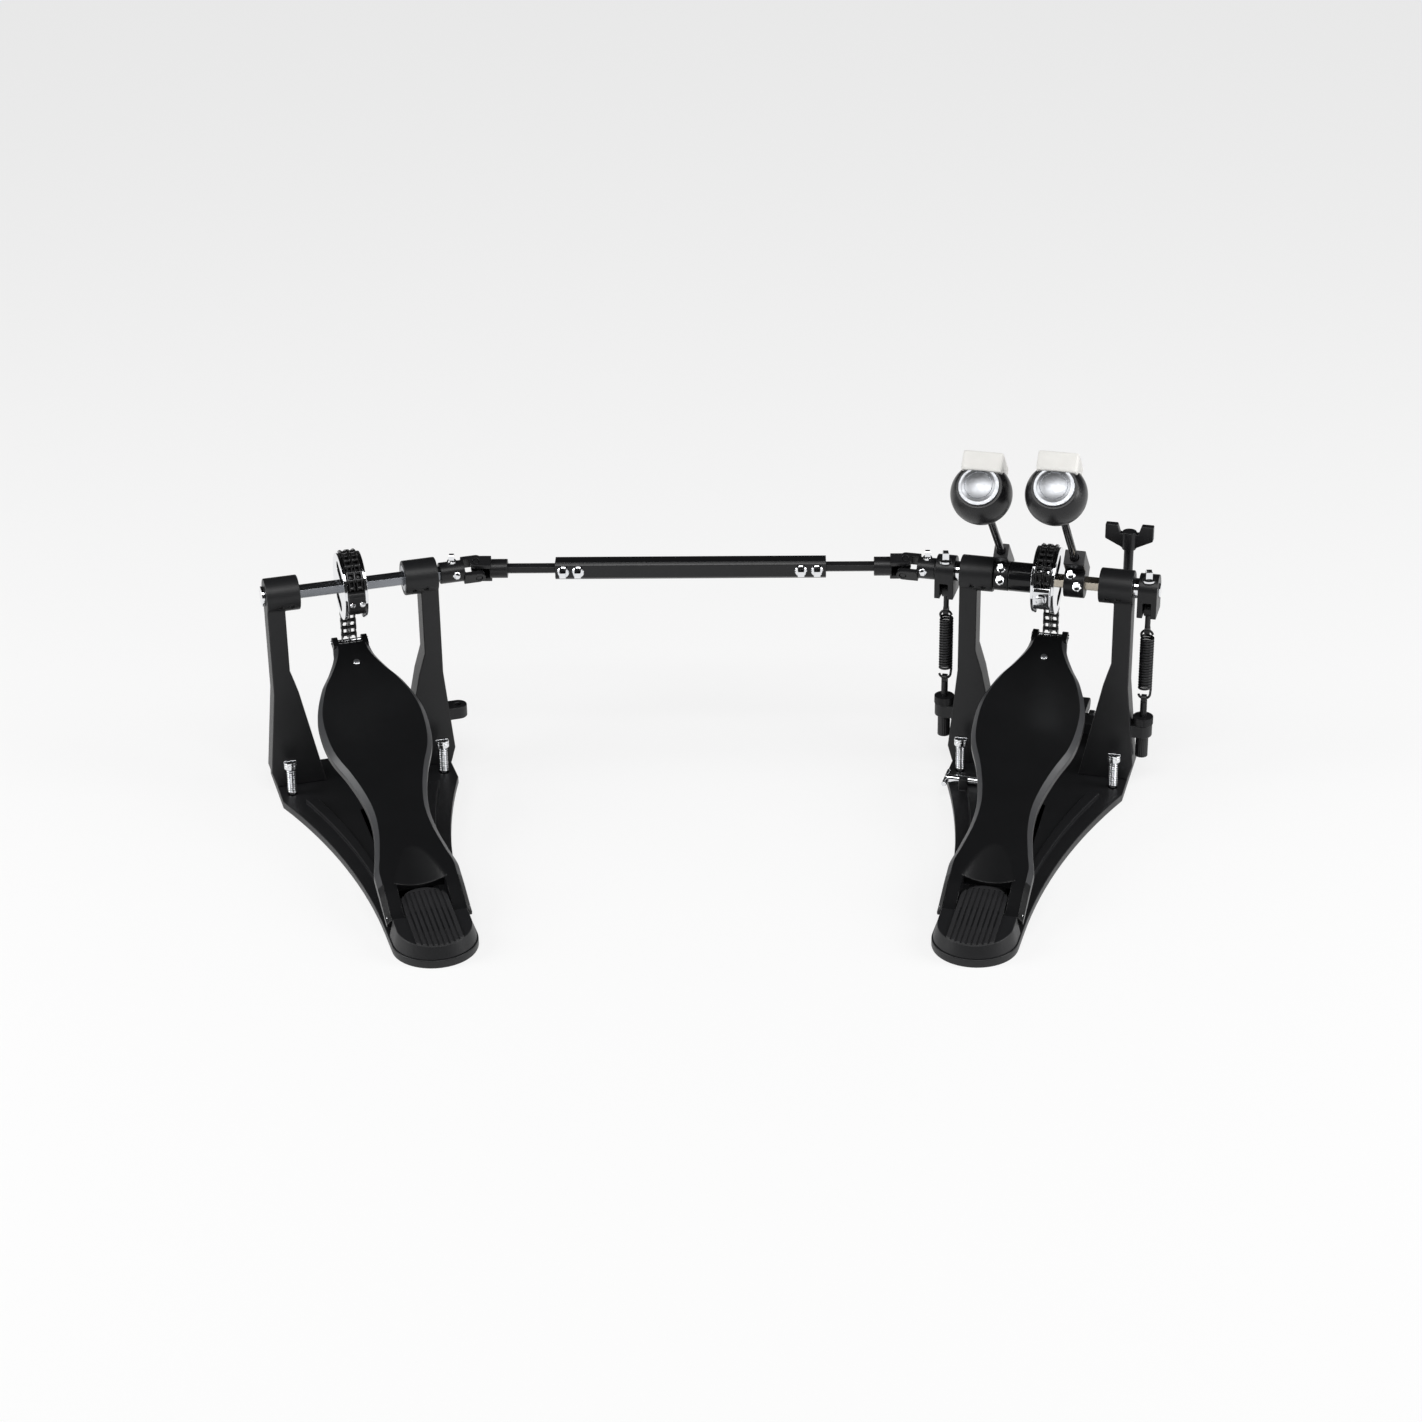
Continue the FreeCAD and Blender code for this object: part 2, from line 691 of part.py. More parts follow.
def cam(name, frame):
    cheek = s.cam_half - s.cheek_width
    drum = rod_x(drum_radius, (-cheek, cheek))
    solids = [drum]
    for side in (1, -1):
        solids.append(rod_x(s.cheek_radius, sorted((side * cheek, side * s.cam_half))))
        rail = (s.strand_offset - s.roller_width / 2 + s.running, s.strand_offset + s.roller_width / 2 - s.running)
        solids.append(rod_x(rail_radius, sorted((side * rail[0], side * rail[1]))))
    block = box((-cheek, cheek), (-s.anchor_length / 2, s.anchor_length / 2),
                (s.chain_radius - s.anchor_height, s.chain_radius + s.plate_height / 2))
    past = (s.anchor_length / 2 + s.plate_height / 2 + s.room * 2) / s.chain_radius * math.degrees(1)
    solids.append(put(block, at(0.0, 0.0, 0.0, "x", past + anchor_angle - 90),
                      at(-cheek, -s.anchor_length / 2, s.chain_radius - s.anchor_height)))
    holes = [hex_x(s.shaft_across + s.fit, (-s.cam_half, s.cam_half))]
    for turn in (20, 200):
        for step in (-0.5, 0.5):
            spot = at(0.0, 0.0, 0.0, "x", turn)
            hole = rod_x(s.cam_slot / 2, (-s.cam_half, s.cam_half))
            holes.append(put(hole, spot, at(-s.cam_half, s.cam_slot_length * step, s.chain_radius * 0.57, "y", 90)))
        window = box((-s.cam_half, s.cam_half), (0.0, s.cam_slot_length), (0.0, s.cam_slot))
        holes.append(put(window, at(0.0, 0.0, 0.0, "x", turn), at(-s.cam_half, -s.cam_slot_length / 2,
                         s.chain_radius * 0.57 - s.cam_slot / 2)))
    node(f"{name}_cam", cut(join(*solids), *holes), frame, on_shaft)


# Duplex roller chain in the plane square to the shaft. Pin links carry three plates and the pins, roller
# links four plates and the rollers. Odd links are pin links.
def plate(start, end, x, thickness, bore=0.0):
    along = (end - start).normalize()
    side = Vector(0, -along.z, along.y)
    half = s.plate_height / 2
    corners = []
    for place, way in ((start, -1), (end, 1)):
        for across, out in ((1, 0.45), (0.45, 1), (-0.45, 1), (-1, 0.45)):
            corners.append(place + along * (way * out * half) + side * (way * across * half))
    shape = Part.Face(Part.makePolygon(corners + corners[:1])).extrude(Vector(thickness, 0, 0))
    shape.translate(Vector(x - thickness / 2, 0, 0))
    return shape


def spindle(spot, radius, x, sides=0):
    if not sides:
        return Part.makeCylinder(radius, x[1] - x[0], spot + Vector(x[0], 0, 0), Vector(1, 0, 0))
    corners = [spot + Vector(x[0], radius * math.cos(step), radius * math.sin(step))
               for step in (2 * math.pi * (number + 0.5) / sides for number in range(sides))]
    return Part.Face(Part.makePolygon(corners + corners[:1])).extrude(Vector(x[1] - x[0], 0, 0))


def link_shapes(start, end, kind, start_pin=True, end_pin=True):
    shapes = []
    outer = s.strand_offset + s.roller_width / 2 + s.plate_thickness * 1.5 + 2 * s.chain_fit
    inner = s.roller_width / 2 + s.plate_thickness / 2
    if kind == "pin":
        for x in (-outer, 0.0, outer):
            shapes.append(plate(start, end, x, s.plate_thickness if x else 2 * s.strand_offset
                                - s.roller_width - 2 * s.plate_thickness - 2 * s.chain_fit))
        reach = outer + s.plate_thickness
        for spot, wanted in ((start, start_pin), (end, end_pin)):
            if wanted:
                shapes.append(spindle(spot, s.chain_pin / 2, (-reach, reach)))
        return shapes
    for strand in (-s.strand_offset, s.strand_offset):
        for x in (strand - inner, strand + inner):
            shapes.append(plate(start, end, x, s.plate_thickness))
        for spot in (start, end):
            span = (strand - s.roller_width / 2, strand + s.roller_width / 2)
            shapes.append(spindle(spot, s.roller_diameter / 2, span, 10))
    return shapes


def fused(shapes, bores=()):
    solid = shapes[0].multiFuse(shapes[1:]) if len(shapes) > 1 else shapes[0]
    for bore in bores:
        solid = solid.cut(bore)
    return solid


def pin_bore(spot):
    reach = s.cam_half
    return spindle(spot, s.chain_pin / 2 + s.chain_fit, (-reach, reach))


def cam_point(number):
    angle = math.radians(link_angle * number)
    return Vector(0, s.chain_radius * math.cos(angle), s.chain_radius * math.sin(angle))


def run_point(number):
    return Vector(0, s.chain_radius, -s.chain_pitch * number)


def kind_of(number):
    return "pin" if number % 2 else "roller"


def chain_node(name, shape, frame):
    piece = doc.addObject("Part::Feature", name)
    piece.Shape = shape
    node(name, piece, frame, on_shaft)


# Links are numbered up the cam from the point where the chain leaves it: link 1 hangs next to the run
def chain(name, frame):
    run = []
    for number in range(run_links):
        last = number == run_links - 1
        run += link_shapes(run_point(number), run_point(number + 1), kind_of(number), end_pin=not last)
    reach = s.toe_half + 1.0
    run.append(spindle(run_point(run_links), s.toe_pin / 2, (-reach, reach)))
    chain_node(f"{name}_chain_run", fused(run, [pin_bore(run_point(0))]), frame)
    for number in range(1, wrap_start + 1):
        start, end = cam_point(number - 1), cam_point(number)
        shapes = link_shapes(start, end, kind_of(number))
        bores = [] if kind_of(number) == "pin" else [pin_bore(start), pin_bore(end)]
        chain_node(f"{name}_chain_link_{number}", fused(shapes, bores), frame)
    wrap = []
    for number in range(wrap_start + 1, wrap_start + wrap_links + 1):
        wrap += link_shapes(cam_point(number - 1), cam_point(number), kind_of(number))
    chain_node(f"{name}_chain_wrap", fused(wrap), frame)


# Beater holder: clamp hub on the shaft and the upright block that grips the rod, drawn with the rod upright
def beater_holder(name, middle, width):
    span = (middle - width / 2, middle + width / 2)
    radius = s.holder_diameter / 2
    hub = rod_x(radius, span)
    block = box(span, (s.rod_offset - s.rod_diameter, s.rod_offset + s.rod_diameter), (-radius, radius * 2.1))
    bores = [
        hex_x(s.shaft_across + s.fit, span, -s.lean),
        rod_z(s.rod_diameter / 2 + s.running, (-radius, radius * 2.1), middle, s.rod_offset),
    ]
    node(f"{name}_beater_holder", cut(join(hub, block), *bores), main, leaning)


# Beater: rod, ball with a flat for the cap and a slot for the felt, domed cap, and the felt block
def beater(name, middle, reach):
    seat = reach + s.cap_seat
    rod = rod_z(s.rod_diameter / 2, (-s.rod_tail, reach), middle, s.rod_offset)
    node(f"{name}_beater_rod", rod, main, leaning, at(middle, s.rod_offset, -s.rod_tail))
    radius = s.ball_diameter / 2
    felt_span = (middle - s.felt_half, middle + s.felt_half)
    felt_depth = (s.rod_offset + s.felt_inner, s.rod_offset + s.felt_outer)
    felt_height = (reach - s.felt_back, reach + s.felt_front)
    slot = box((felt_span[0] - s.fit, felt_span[1] + s.fit), (felt_depth[0] - s.fit, felt_depth[1]),
               (felt_height[0] - s.fit, reach + radius))
    flat = box((middle - radius, middle + radius), (s.rod_offset - radius, s.rod_offset + radius), (seat, seat + radius))
    bore = rod_z(s.rod_diameter / 2 + s.fit, (reach - radius, reach + s.fit), middle, s.rod_offset)
    sphere = cut(ball(radius, middle, s.rod_offset, reach), slot, flat, bore)
    lid_radius = s.cap_diameter / 2
    disc = rod_z(lid_radius, (seat, seat + 2.0), middle, s.rod_offset)
    dome = common(ball(lid_radius * 2.2, middle, s.rod_offset, seat + 5.0 - lid_radius * 2.2),
                  rod_z(lid_radius - 1.0, (seat + 1.0, seat + 6.0), middle, s.rod_offset))
    lid_slot = box((felt_span[0] - s.fit, felt_span[1] + s.fit), (felt_depth[0] - s.fit, felt_depth[1]),
                   (felt_height[0] - s.fit, reach + radius))
    lid = cut(join(disc, dome), lid_slot)
    node(f"{name}_beater_head", add("Compound", Links=[sphere, lid]), main, leaning)
    felt = box(felt_span, felt_depth, felt_height)
    node(f"{name}_beater_felt", felt, main, leaning, at(felt_span[0], felt_depth[0], felt_height[0]))


# Spring rocker: clamp block on the shaft's end with a fork and a pin for the hanger
def rocker(name, side):
    middle = side * s.spring_offset
    span = (middle - s.rocker_width / 2, middle + s.rocker_width / 2)
    radius = s.rocker_radius
    block = join(rod_x(radius, span), box(span, (-radius, radius), (-s.rocker_drop, 0.0)))
    slot = box((middle - s.rocker_slot / 2, middle + s.rocker_slot / 2), (-radius, radius),
               (-s.rocker_drop, -s.shaft_across / 2 - 2.0))
    bore = hex_x(s.shaft_across + s.fit, span)
    pin = rod_x(s.rocker_pin / 2, span, 0.0, -s.arm_radius)
    node(f"{name}_spring_rocker", join(cut(block, slot, bore), pin), main, on_shaft)


# Hole of an eye, wide enough for the bend of the spring's hook
def hook_hole(middle, level):
    return rod_x(s.wire_diameter / 2 + s.room * 2, (middle - s.tension_rod, middle + s.tension_rod), 0.0, level)


# Hanger: slotted eye round the rocker's pin, a rod, and a flat eye for the spring's hook
def hanger(name, side):
    middle = side * s.spring_offset
    pin_z = s.shaft_height - s.arm_radius
    half = s.rocker_slot / 2 - s.room
    play = s.rocker_pin / 2 + s.hanger_eye_play
    wall = play + 2.2
    span = (middle - half, middle + half)
    ring = cut(rod_x(wall, span, 0.0, pin_z), rod_x(play, span, 0.0, pin_z))
    stem = rod_z(s.hanger_diameter / 2, (s.upper_eye, pin_z - play - 0.6), middle)
    eye_span = (middle - s.eye_width / 2, middle + s.eye_width / 2)
    eye = cut(join(rod_x(s.eye_radius, eye_span, 0.0, s.upper_eye), stem), hook_hole(middle, s.upper_eye))
    node(f"{name}_hanger", join(ring, eye), main)


# Tension rods with an eye on top, fixed in the posts' ears, and the wheel and nut that turn on each
def tension_rods():
    rods = []
    for side in (1, -1):
        middle = side * s.spring_offset
        eye_span = (middle - s.eye_width / 2, middle + s.eye_width / 2)
        bottom = s.ear_height - s.nut_height
        stem = rod_z(s.tension_rod / 2, (bottom, s.lower_eye), middle)
        eye = cut(join(rod_x(s.eye_radius, eye_span, 0.0, s.lower_eye), stem), hook_hole(middle, s.lower_eye))
        rods.append(put(eye, main))
    node("spring_eye_rods", add("Compound", Links=rods))


def tension_nuts(name, side):
    middle = side * s.spring_offset
    top = s.ear_height + s.ear_thickness
    wheel = rod_z(s.wheel_diameter / 2, (top + s.running, top + s.running + s.wheel_height), middle)
    nut = rod_z(s.nut_diameter / 2, (s.ear_height - s.nut_height, s.ear_height - s.running), middle)
    bores = [rod_z(s.tension_rod / 2 + s.running, (s.ear_height - s.nut_height, top + s.wheel_height * 2), middle)
             for piece in (wheel, nut)]
    pieces = [cut(wheel, bores[0]), cut(nut, bores[1])]
    node(f"{name}_tension_nuts", add("Compound", Links=pieces), main)


# Extension springs: one wire with a hook at each end. Each half turn of the coil is a pair of tangent arcs.
def tangent_arcs(start, start_way, end, end_way):
    span = end - start
    ways = start_way + end_way
    bend = 2 * (1 - start_way.dot(end_way))
    if bend < 1e-9:
        reach = span.dot(span) / (2 * span.dot(ways))
    else:
        reach = (math.sqrt(span.dot(ways) ** 2 + bend * span.dot(span)) - span.dot(ways)) / bend
    first, second = start + start_way * reach, end - end_way * reach
    middle = (first + second) * 0.5
    return [arc_edge(start, first, middle), arc_edge(middle, second, end)]


def arc_edge(start, corner, end):
    half = (end - start) * 0.5
    foot = start + half
    lift = corner - foot
    quarter = math.atan2(lift.Length, half.Length) / 2
    crown = foot + lift.normalize() * (half.Length * math.tan(quarter))
    return Part.Arc(start, crown, end).toShape()


def hook(centre, radius, first, last):
    edges = []
    steps = 3
    spots = []
    for number in range(2 * steps + 1):
        angle = math.radians(first + (last - first) * number / (2 * steps))
        spots.append(centre + Vector(radius * math.cos(angle), 0, radius * math.sin(angle)))
    for number in range(0, 2 * steps, 2):
        edges.append(Part.Arc(*spots[number:number + 3]).toShape())
    return edges


def spring_path():
    radius = float(s.coil_radius)
    riser = 1.3 * float(s.wire_diameter)
    low, high = float(s.lower_eye) + radius, float(s.upper_eye) - radius
    coil_low, coil_high = low + riser, high - riser
    turns = math.floor((coil_high - coil_low) / s.coil_pitch) + 0.5
    halves = int(2 * turns)
    pitch = (coil_high - coil_low) / turns
    axis = Vector(0, riser, 0)

    def coil_spot(number):
        angle = math.pi * number
        return axis + Vector(radius * math.cos(angle), radius * math.sin(angle),
                             coil_low + pitch * number / 2)

    def coil_way(number):
        climb = 0.0 if number in (0, halves) else pitch / (2 * math.pi * radius)
        return Vector(0, math.cos(math.pi * number), climb).normalize()

    up = Vector(0, 0, 1)
    edges = hook(Vector(0, 0, low), radius, -170, 0)
    edges += tangent_arcs(Vector(radius, 0, low), up, coil_spot(0), coil_way(0))
    for number in range(halves):
        middle = number + 0.5
        spot = axis + Vector(radius * math.cos(math.pi * middle), radius * math.sin(math.pi * middle),
                             coil_low + pitch * middle / 2)
        way = Vector(-math.sin(math.pi * middle), math.cos(math.pi * middle),
                     pitch / (2 * math.pi * radius)).normalize()
        edges += tangent_arcs(coil_spot(number), coil_way(number), spot, way)
        edges += tangent_arcs(spot, way, coil_spot(number + 1), coil_way(number + 1))
    edges += tangent_arcs(coil_spot(halves), coil_way(halves), Vector(-radius, 0, high), up)
    edges += hook(Vector(0, 0, high), radius, 180, 10)
    return edges


def tail(edge, at_start, length):
    place = edge.FirstParameter if at_start else edge.LastParameter
    spot = edge.valueAt(place)
    way = edge.tangentAt(place) * (-1 if at_start else 1)
    ends = (spot + way * length, spot) if at_start else (spot, spot + way * length)
    return Part.LineSegment(*ends).toShape()


# Least gap of the wire to itself, measured on points spread along the path
def least_gap(edges, wire):
    spots = []
    travelled = 0.0
    for edge in edges:
        count = max(2, int(edge.Length / 0.4))
        for spot in edge.discretize(count)[:-1]:
            spots.append((travelled + edge.Length * len(spots[:0]), spot))
        travelled += edge.Length
    gap = math.inf
    places = [spot for _, spot in spots]
    lengths = [0.0]
    for one, two in zip(places, places[1:]):
        lengths.append(lengths[-1] + (two - one).Length)
    for first in range(0, len(places), 2):
        for second in range(first + 1, len(places)):
            if lengths[second] - lengths[first] > 4 * wire:
                gap = min(gap, (places[second] - places[first]).Length - wire)
    return gap


def spring(name, side):
    edges = spring_path()
    wire = float(s.wire_diameter)
    path_edges = [tail(edges[0], True, wire)] + edges + [tail(edges[-1], False, wire)]
    path = Part.Wire(path_edges)
    start = path_edges[0].valueAt(path_edges[0].FirstParameter)
    way = path_edges[0].tangentAt(path_edges[0].FirstParameter)
    section = Part.Wire([Part.Circle(start, way, wire / 2).toShape()])
    tube = path.makePipeShell([section], True, False)
    piece = doc.addObject("Part::Feature", f"{name}_spring")
    piece.Shape = tube
    print(f"{name}_spring least gap {least_gap(path_edges, wire):.2f} mm, volume ratio",
          round(tube.Volume / (math.pi * wire ** 2 / 4 * path.Length), 4))
    node(f"{name}_spring", piece, main, at(side * s.spring_offset))


# Universal joints. A fork is drawn along +x with its prongs along y, its centre at the cross.
def fork(back, hub_radius):
    prongs = []
    for side in (1, -1):
        span = sorted((side * s.fork_inner, side * (s.cross_half + s.room)))
        prongs.append(box((-s.fork_root - 1.0, 0.0), span, (-s.fork_radius, s.fork_radius)))
        prongs.append(rod_y(s.fork_radius, span))
    hub = rod_x(hub_radius, (-back, -s.fork_root))
    return prongs + [hub]


def fork_holes():
    return rod_y(s.cross_pin / 2 + s.room, (-s.cross_half - 1.0, s.cross_half + 1.0))


def second_pin_angle(toe_out):
    across = cosine(toe_out) * cosine(s.joint_phase)
    lift = sine(s.joint_phase)
    return Size(math.degrees(math.atan2(across, -lift)), f"(atan2({across.text}; 0 - {lift.text}) / 1 deg)")


def joint_hub(name, frame, reach, side, shaft_end):
    back = reach - s.post_outer - 3.0
    if name == "right":
        back = reach - s.spring_offset - s.rocker_width / 2 - 1.0
    phase = s.joint_phase if side > 0 else -s.joint_phase
    bore = hex_x(s.shaft_across + s.fit, (-reach, shaft_end - reach + s.fit), -phase)
    hub = cut(join(*fork(back, s.hub_radius)), fork_holes(), bore)
    spin = [at(0.0, 0.0, 0.0, "z", 180)] if side < 0 else []
    node(f"{name}_joint_hub", hub, frame, at(side * reach, 0.0, s.shaft_height), *spin,
         at(0.0, 0.0, 0.0, "x", phase))


left_cross_at = at(slave_x + s.slave_reach * cosine(s.slave_toe_out),
                   s.main_reach * sine(s.main_toe_out), s.shaft_height)
right_cross_at = at(-s.main_reach * cosine(s.main_toe_out), s.main_reach * sine(s.main_toe_out), s.shaft_height)


def cross(name, centre, toe_out, turn):
    half = s.cross_half
    first = put(rod_y(s.cross_pin / 2, (-half, half)), centre, at(0.0, 0.0, 0.0, "z", turn),
                at(0.0, 0.0, 0.0, "x", s.joint_phase), at(0.0, -half, 0.0, "x", -90))
    second = put(rod_y(s.cross_pin / 2, (-half, half)), centre,
                 at(0.0, 0.0, 0.0, "x", second_pin_angle(toe_out)), at(0.0, -half, 0.0, "x", -90))
    core = put(ball(s.cross_block / 2), centre)
    node(f"{name}_cross", join(first, second, core))


# Link shaft: two hexagonal rods with yokes, and the tube that telescopes over them
def link_rods():
    rods = []
    for centre, toe_out, flip in ((left_cross_at, s.slave_toe_out, 180), (right_cross_at, s.main_toe_out, 0)):
        spin = second_pin_angle(toe_out)
        angle = -spin if flip else spin
        inner = (s.link_length - s.tube_length) / 2 + s.rod_grip
        bar = hex_x(s.link_rod_across, (-inner, -s.yoke_length + 1.0))
        yoke = cut(join(*fork(s.yoke_length, s.yoke_radius), bar), fork_holes())
        rods.append(put(yoke, centre, at(0.0, 0.0, 0.0, "z", flip), at(0.0, 0.0, 0.0, "x", angle)))
    node("link_rods", add("Compound", Links=rods))


def link_tube():
    half = s.tube_across / 2
    edge = half - s.tube_chamfer
    corners = [(half, -edge), (half, edge), (edge, half), (-edge, half),
               (-half, edge), (-half, -edge), (-edge, -half), (edge, -half)]
    start = (s.link_length - s.tube_length) / 2
    lying = at(0.0, 0.0, 0.0, "y", 90)
    shell = extrude(outline(lying, corners), s.tube_length)
    bore = rod_x(s.link_rod_across / math.sqrt(3) + s.running, (0.0, s.tube_length))
    node("link_tube", cut(shell, bore), left_cross_at, at(start))


# Hoop clamp: jaw on its pin, with an arm that carries the long wing bolt
def clamp_jaw():
    half = s.jaw_half
    under, over = s.jaw_height - s.jaw_thickness / 2, s.jaw_height + s.jaw_thickness / 2
    body = box((-half, half), (s.jaw_pivot - s.jaw_pin, s.jaw_front), (under, over))
    lip = rod_x(s.jaw_thickness / 2, (-half, half), s.jaw_front, s.jaw_height)
    pin = rod_x(s.jaw_pin / 2, (-s.tongue_half - s.lug_width, s.tongue_half + s.lug_width), s.jaw_pivot, s.jaw_height)
    boss = s.bolt_diameter
    arm = box((half - boss, s.bolt_at), (s.bolt_forward - boss, s.jaw_pivot - s.jaw_pin - s.room * 2), (under, over))
    neck = box((half - boss * 2, half), (s.bolt_forward - boss, s.jaw_pivot), (under, over))
    seat = rod_z(boss, (under, over), s.bolt_at, s.bolt_forward)
    hole = rod_z(s.bolt_diameter / 2 + s.running, (under, over), s.bolt_at, s.bolt_forward)
    node("clamp_jaw", cut(join(body, lip, pin, arm, neck, seat), hole), main)


def wing_bolt():
    stem = rod_z(s.bolt_diameter / 2, (s.base_thickness + s.room, s.bolt_top), s.bolt_at, s.bolt_forward)
    half = s.wing_span / 2
    corners = [
        (-half * 0.3, 0.0), (half * 0.3, 0.0), (half, s.wing_rise * 0.35), (half, s.wing_rise),
        (half * 0.5, s.wing_rise), (half * 0.38, s.wing_rise * 0.62), (-half * 0.38, s.wing_rise * 0.62),
        (-half * 0.5, s.wing_rise), (-half, s.wing_rise), (-half, s.wing_rise * 0.35),
    ]
    base = s.bolt_top - s.room
    wings = extrude(outline(f"{at(s.bolt_at, s.bolt_forward, base)} * {at(0, 0, 0, 'x', 90)}", corners),
                    s.wing_thickness, both=True)
    hub = rod_z(s.bolt_diameter * 0.75, (base - s.room * 5, base + s.wing_rise * 0.7), s.bolt_at, s.bolt_forward)
    node("wing_bolt", join(stem, wings, hub), main)


# Drum key: shank in the clip with a cross bar on its outer end
def drum_key():
    level = s.base_thickness + s.key_diameter
    start = -s.key_at - s.key_length / 2
    shank = rod_x(s.key_diameter / 2, (start, start + s.key_length), -s.key_back, level)
    bar = rod_y(s.key_diameter * 0.32, (-s.key_back - s.key_length * 0.4, -s.key_back + s.key_length * 0.4), start, level)
    node("drum_key", join(shank, bar), main)


for pedal, place in pedals:
    base_plate(pedal, place)
    heel_plate(pedal, place)
    heel_pad(pedal, place)
    for hand in (1, -1):
        post(pedal, place, hand, pedal == "main" or hand > 0)
    footboard(pedal, place)
    cam(pedal, place)
    chain(pedal, place)
hinge_pins()
bearings()
spurs()
main_shaft()
aux_shaft()
slave_shaft()
beater_holder("right", s.right_holder_at, s.right_holder_width)
beater_holder("left", -s.left_holder_at, s.left_holder_width)
beater("right", s.right_holder_at, s.right_beater_reach)
beater("left", -s.left_holder_at, s.left_beater_reach)
for label, hand in (("right", 1), ("left", -1)):
    rocker(label, hand)
    hanger(label, hand)
    spring(label, hand)
    tension_nuts(label, hand)
tension_rods()
joint_hub("right", main, s.main_reach, -1, s.aux_end)
joint_hub("left", slave, s.slave_reach, 1, s.slave_reach - s.fork_root - 3.0)
cross("right", right_cross_at, s.main_toe_out, -s.main_toe_out)
cross("left", left_cross_at, s.slave_toe_out, s.slave_toe_out)
link_rods()
link_tube()
clamp_jaw()
wing_bolt()
drum_key()

doc.recompute()

# Every object must be sound before anything is written
faults = [thing.Name for thing in doc.Objects if "Invalid" in thing.State or "Error" in thing.State]
faults += [piece.Label for piece in nodes
           if piece.Shape.isNull() or not piece.Shape.isValid() or not piece.Shape.Solids]
if faults:
    raise RuntimeError(f"Not sound: {', '.join(faults)}")

os.makedirs("parts", exist_ok=True)
for piece in nodes:
    piece.Shape.exportStep(f"parts/{piece.Label}.step")
print(len(nodes), "pieces written")
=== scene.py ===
import json
import math

import bmesh
import bpy
from mathutils import Matrix, Vector
from mathutils.bvhtree import BVHTree

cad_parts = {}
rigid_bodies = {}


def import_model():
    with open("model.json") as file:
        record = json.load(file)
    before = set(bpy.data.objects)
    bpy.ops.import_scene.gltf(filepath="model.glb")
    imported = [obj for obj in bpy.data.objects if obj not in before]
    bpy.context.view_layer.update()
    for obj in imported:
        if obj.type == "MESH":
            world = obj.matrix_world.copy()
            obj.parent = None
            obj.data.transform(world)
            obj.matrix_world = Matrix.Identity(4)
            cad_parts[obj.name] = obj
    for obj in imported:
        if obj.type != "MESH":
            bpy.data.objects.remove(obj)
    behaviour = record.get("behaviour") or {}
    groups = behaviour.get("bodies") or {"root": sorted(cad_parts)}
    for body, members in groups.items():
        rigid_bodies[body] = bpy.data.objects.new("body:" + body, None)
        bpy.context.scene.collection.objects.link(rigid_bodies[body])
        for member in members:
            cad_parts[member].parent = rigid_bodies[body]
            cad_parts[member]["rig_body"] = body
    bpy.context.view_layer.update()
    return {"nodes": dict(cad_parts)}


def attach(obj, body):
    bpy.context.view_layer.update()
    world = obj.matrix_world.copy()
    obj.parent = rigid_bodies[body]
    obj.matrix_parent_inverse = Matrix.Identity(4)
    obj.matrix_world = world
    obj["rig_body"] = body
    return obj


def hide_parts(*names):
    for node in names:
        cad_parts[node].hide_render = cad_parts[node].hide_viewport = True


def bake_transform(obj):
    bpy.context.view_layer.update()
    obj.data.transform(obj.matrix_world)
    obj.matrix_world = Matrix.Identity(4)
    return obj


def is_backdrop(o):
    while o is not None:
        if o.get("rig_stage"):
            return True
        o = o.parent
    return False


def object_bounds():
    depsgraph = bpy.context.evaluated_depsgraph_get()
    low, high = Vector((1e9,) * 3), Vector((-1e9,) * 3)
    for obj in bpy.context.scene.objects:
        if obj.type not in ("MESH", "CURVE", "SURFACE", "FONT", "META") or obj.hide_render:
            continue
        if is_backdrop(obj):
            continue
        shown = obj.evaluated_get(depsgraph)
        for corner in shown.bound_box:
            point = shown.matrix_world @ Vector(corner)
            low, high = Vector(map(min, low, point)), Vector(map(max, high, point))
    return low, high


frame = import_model()
scene = bpy.context.scene
mm = 0.001
print("frame loaded:", len(frame["nodes"]), "nodes")

# Where the two pedals stand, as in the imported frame: x along the shaft, y to the drum
layout = {"mainToe": -14.0, "slaveToe": 17.0, "slavePlace": (-576.760, -2.253), "shaftHeight": 180.0, "lean": 47.0,
          "hinge": (0, -272, 17), "boardSlope": 17.8, "springs": {"right": 84.5, "left": -84.5}}


def turned(angle, axis):
    return Matrix.Rotation(math.radians(angle), 4, axis)


def moved(x, y, z):
    return Matrix.Translation(Vector((x, y, z)) * mm)


mainPedal = turned(layout["mainToe"], "Z")
slavePedal = moved(*layout["slavePlace"], 0) @ turned(layout["slaveToe"], "Z")
pedals = {"main": mainPedal, "slave": slavePedal}
onShaft = moved(0, 0, layout["shaftHeight"])
leaning = mainPedal @ onShaft @ turned(layout["lean"], "X")  # beater rods upright in this one


def onBoard(pedal):
    return pedal @ moved(*layout["hinge"]) @ turned(layout["boardSlope"], "X")


# Camera: the photograph's own view
view = {"eye": (-0.22318, -2.52358, 1.33557), "target": (-0.27852, -0.0489, 0.08471), "lens": 84.84, "roll": -0.88}
cameraData = bpy.data.cameras.new("studioCamera")
cameraData.lens = view["lens"]
cameraData.sensor_width = 36.0
camera = bpy.data.objects.new("studioCamera", cameraData)
camera.location = view["eye"]
sight = (Vector(view["target"]) - Vector(view["eye"])).to_track_quat("-Z", "Y").to_matrix().to_4x4()
camera.rotation_euler = (sight @ turned(view["roll"], "Z")).to_euler()
scene.collection.objects.link(camera)
scene.camera = camera
scene.view_settings.view_transform = "Standard"


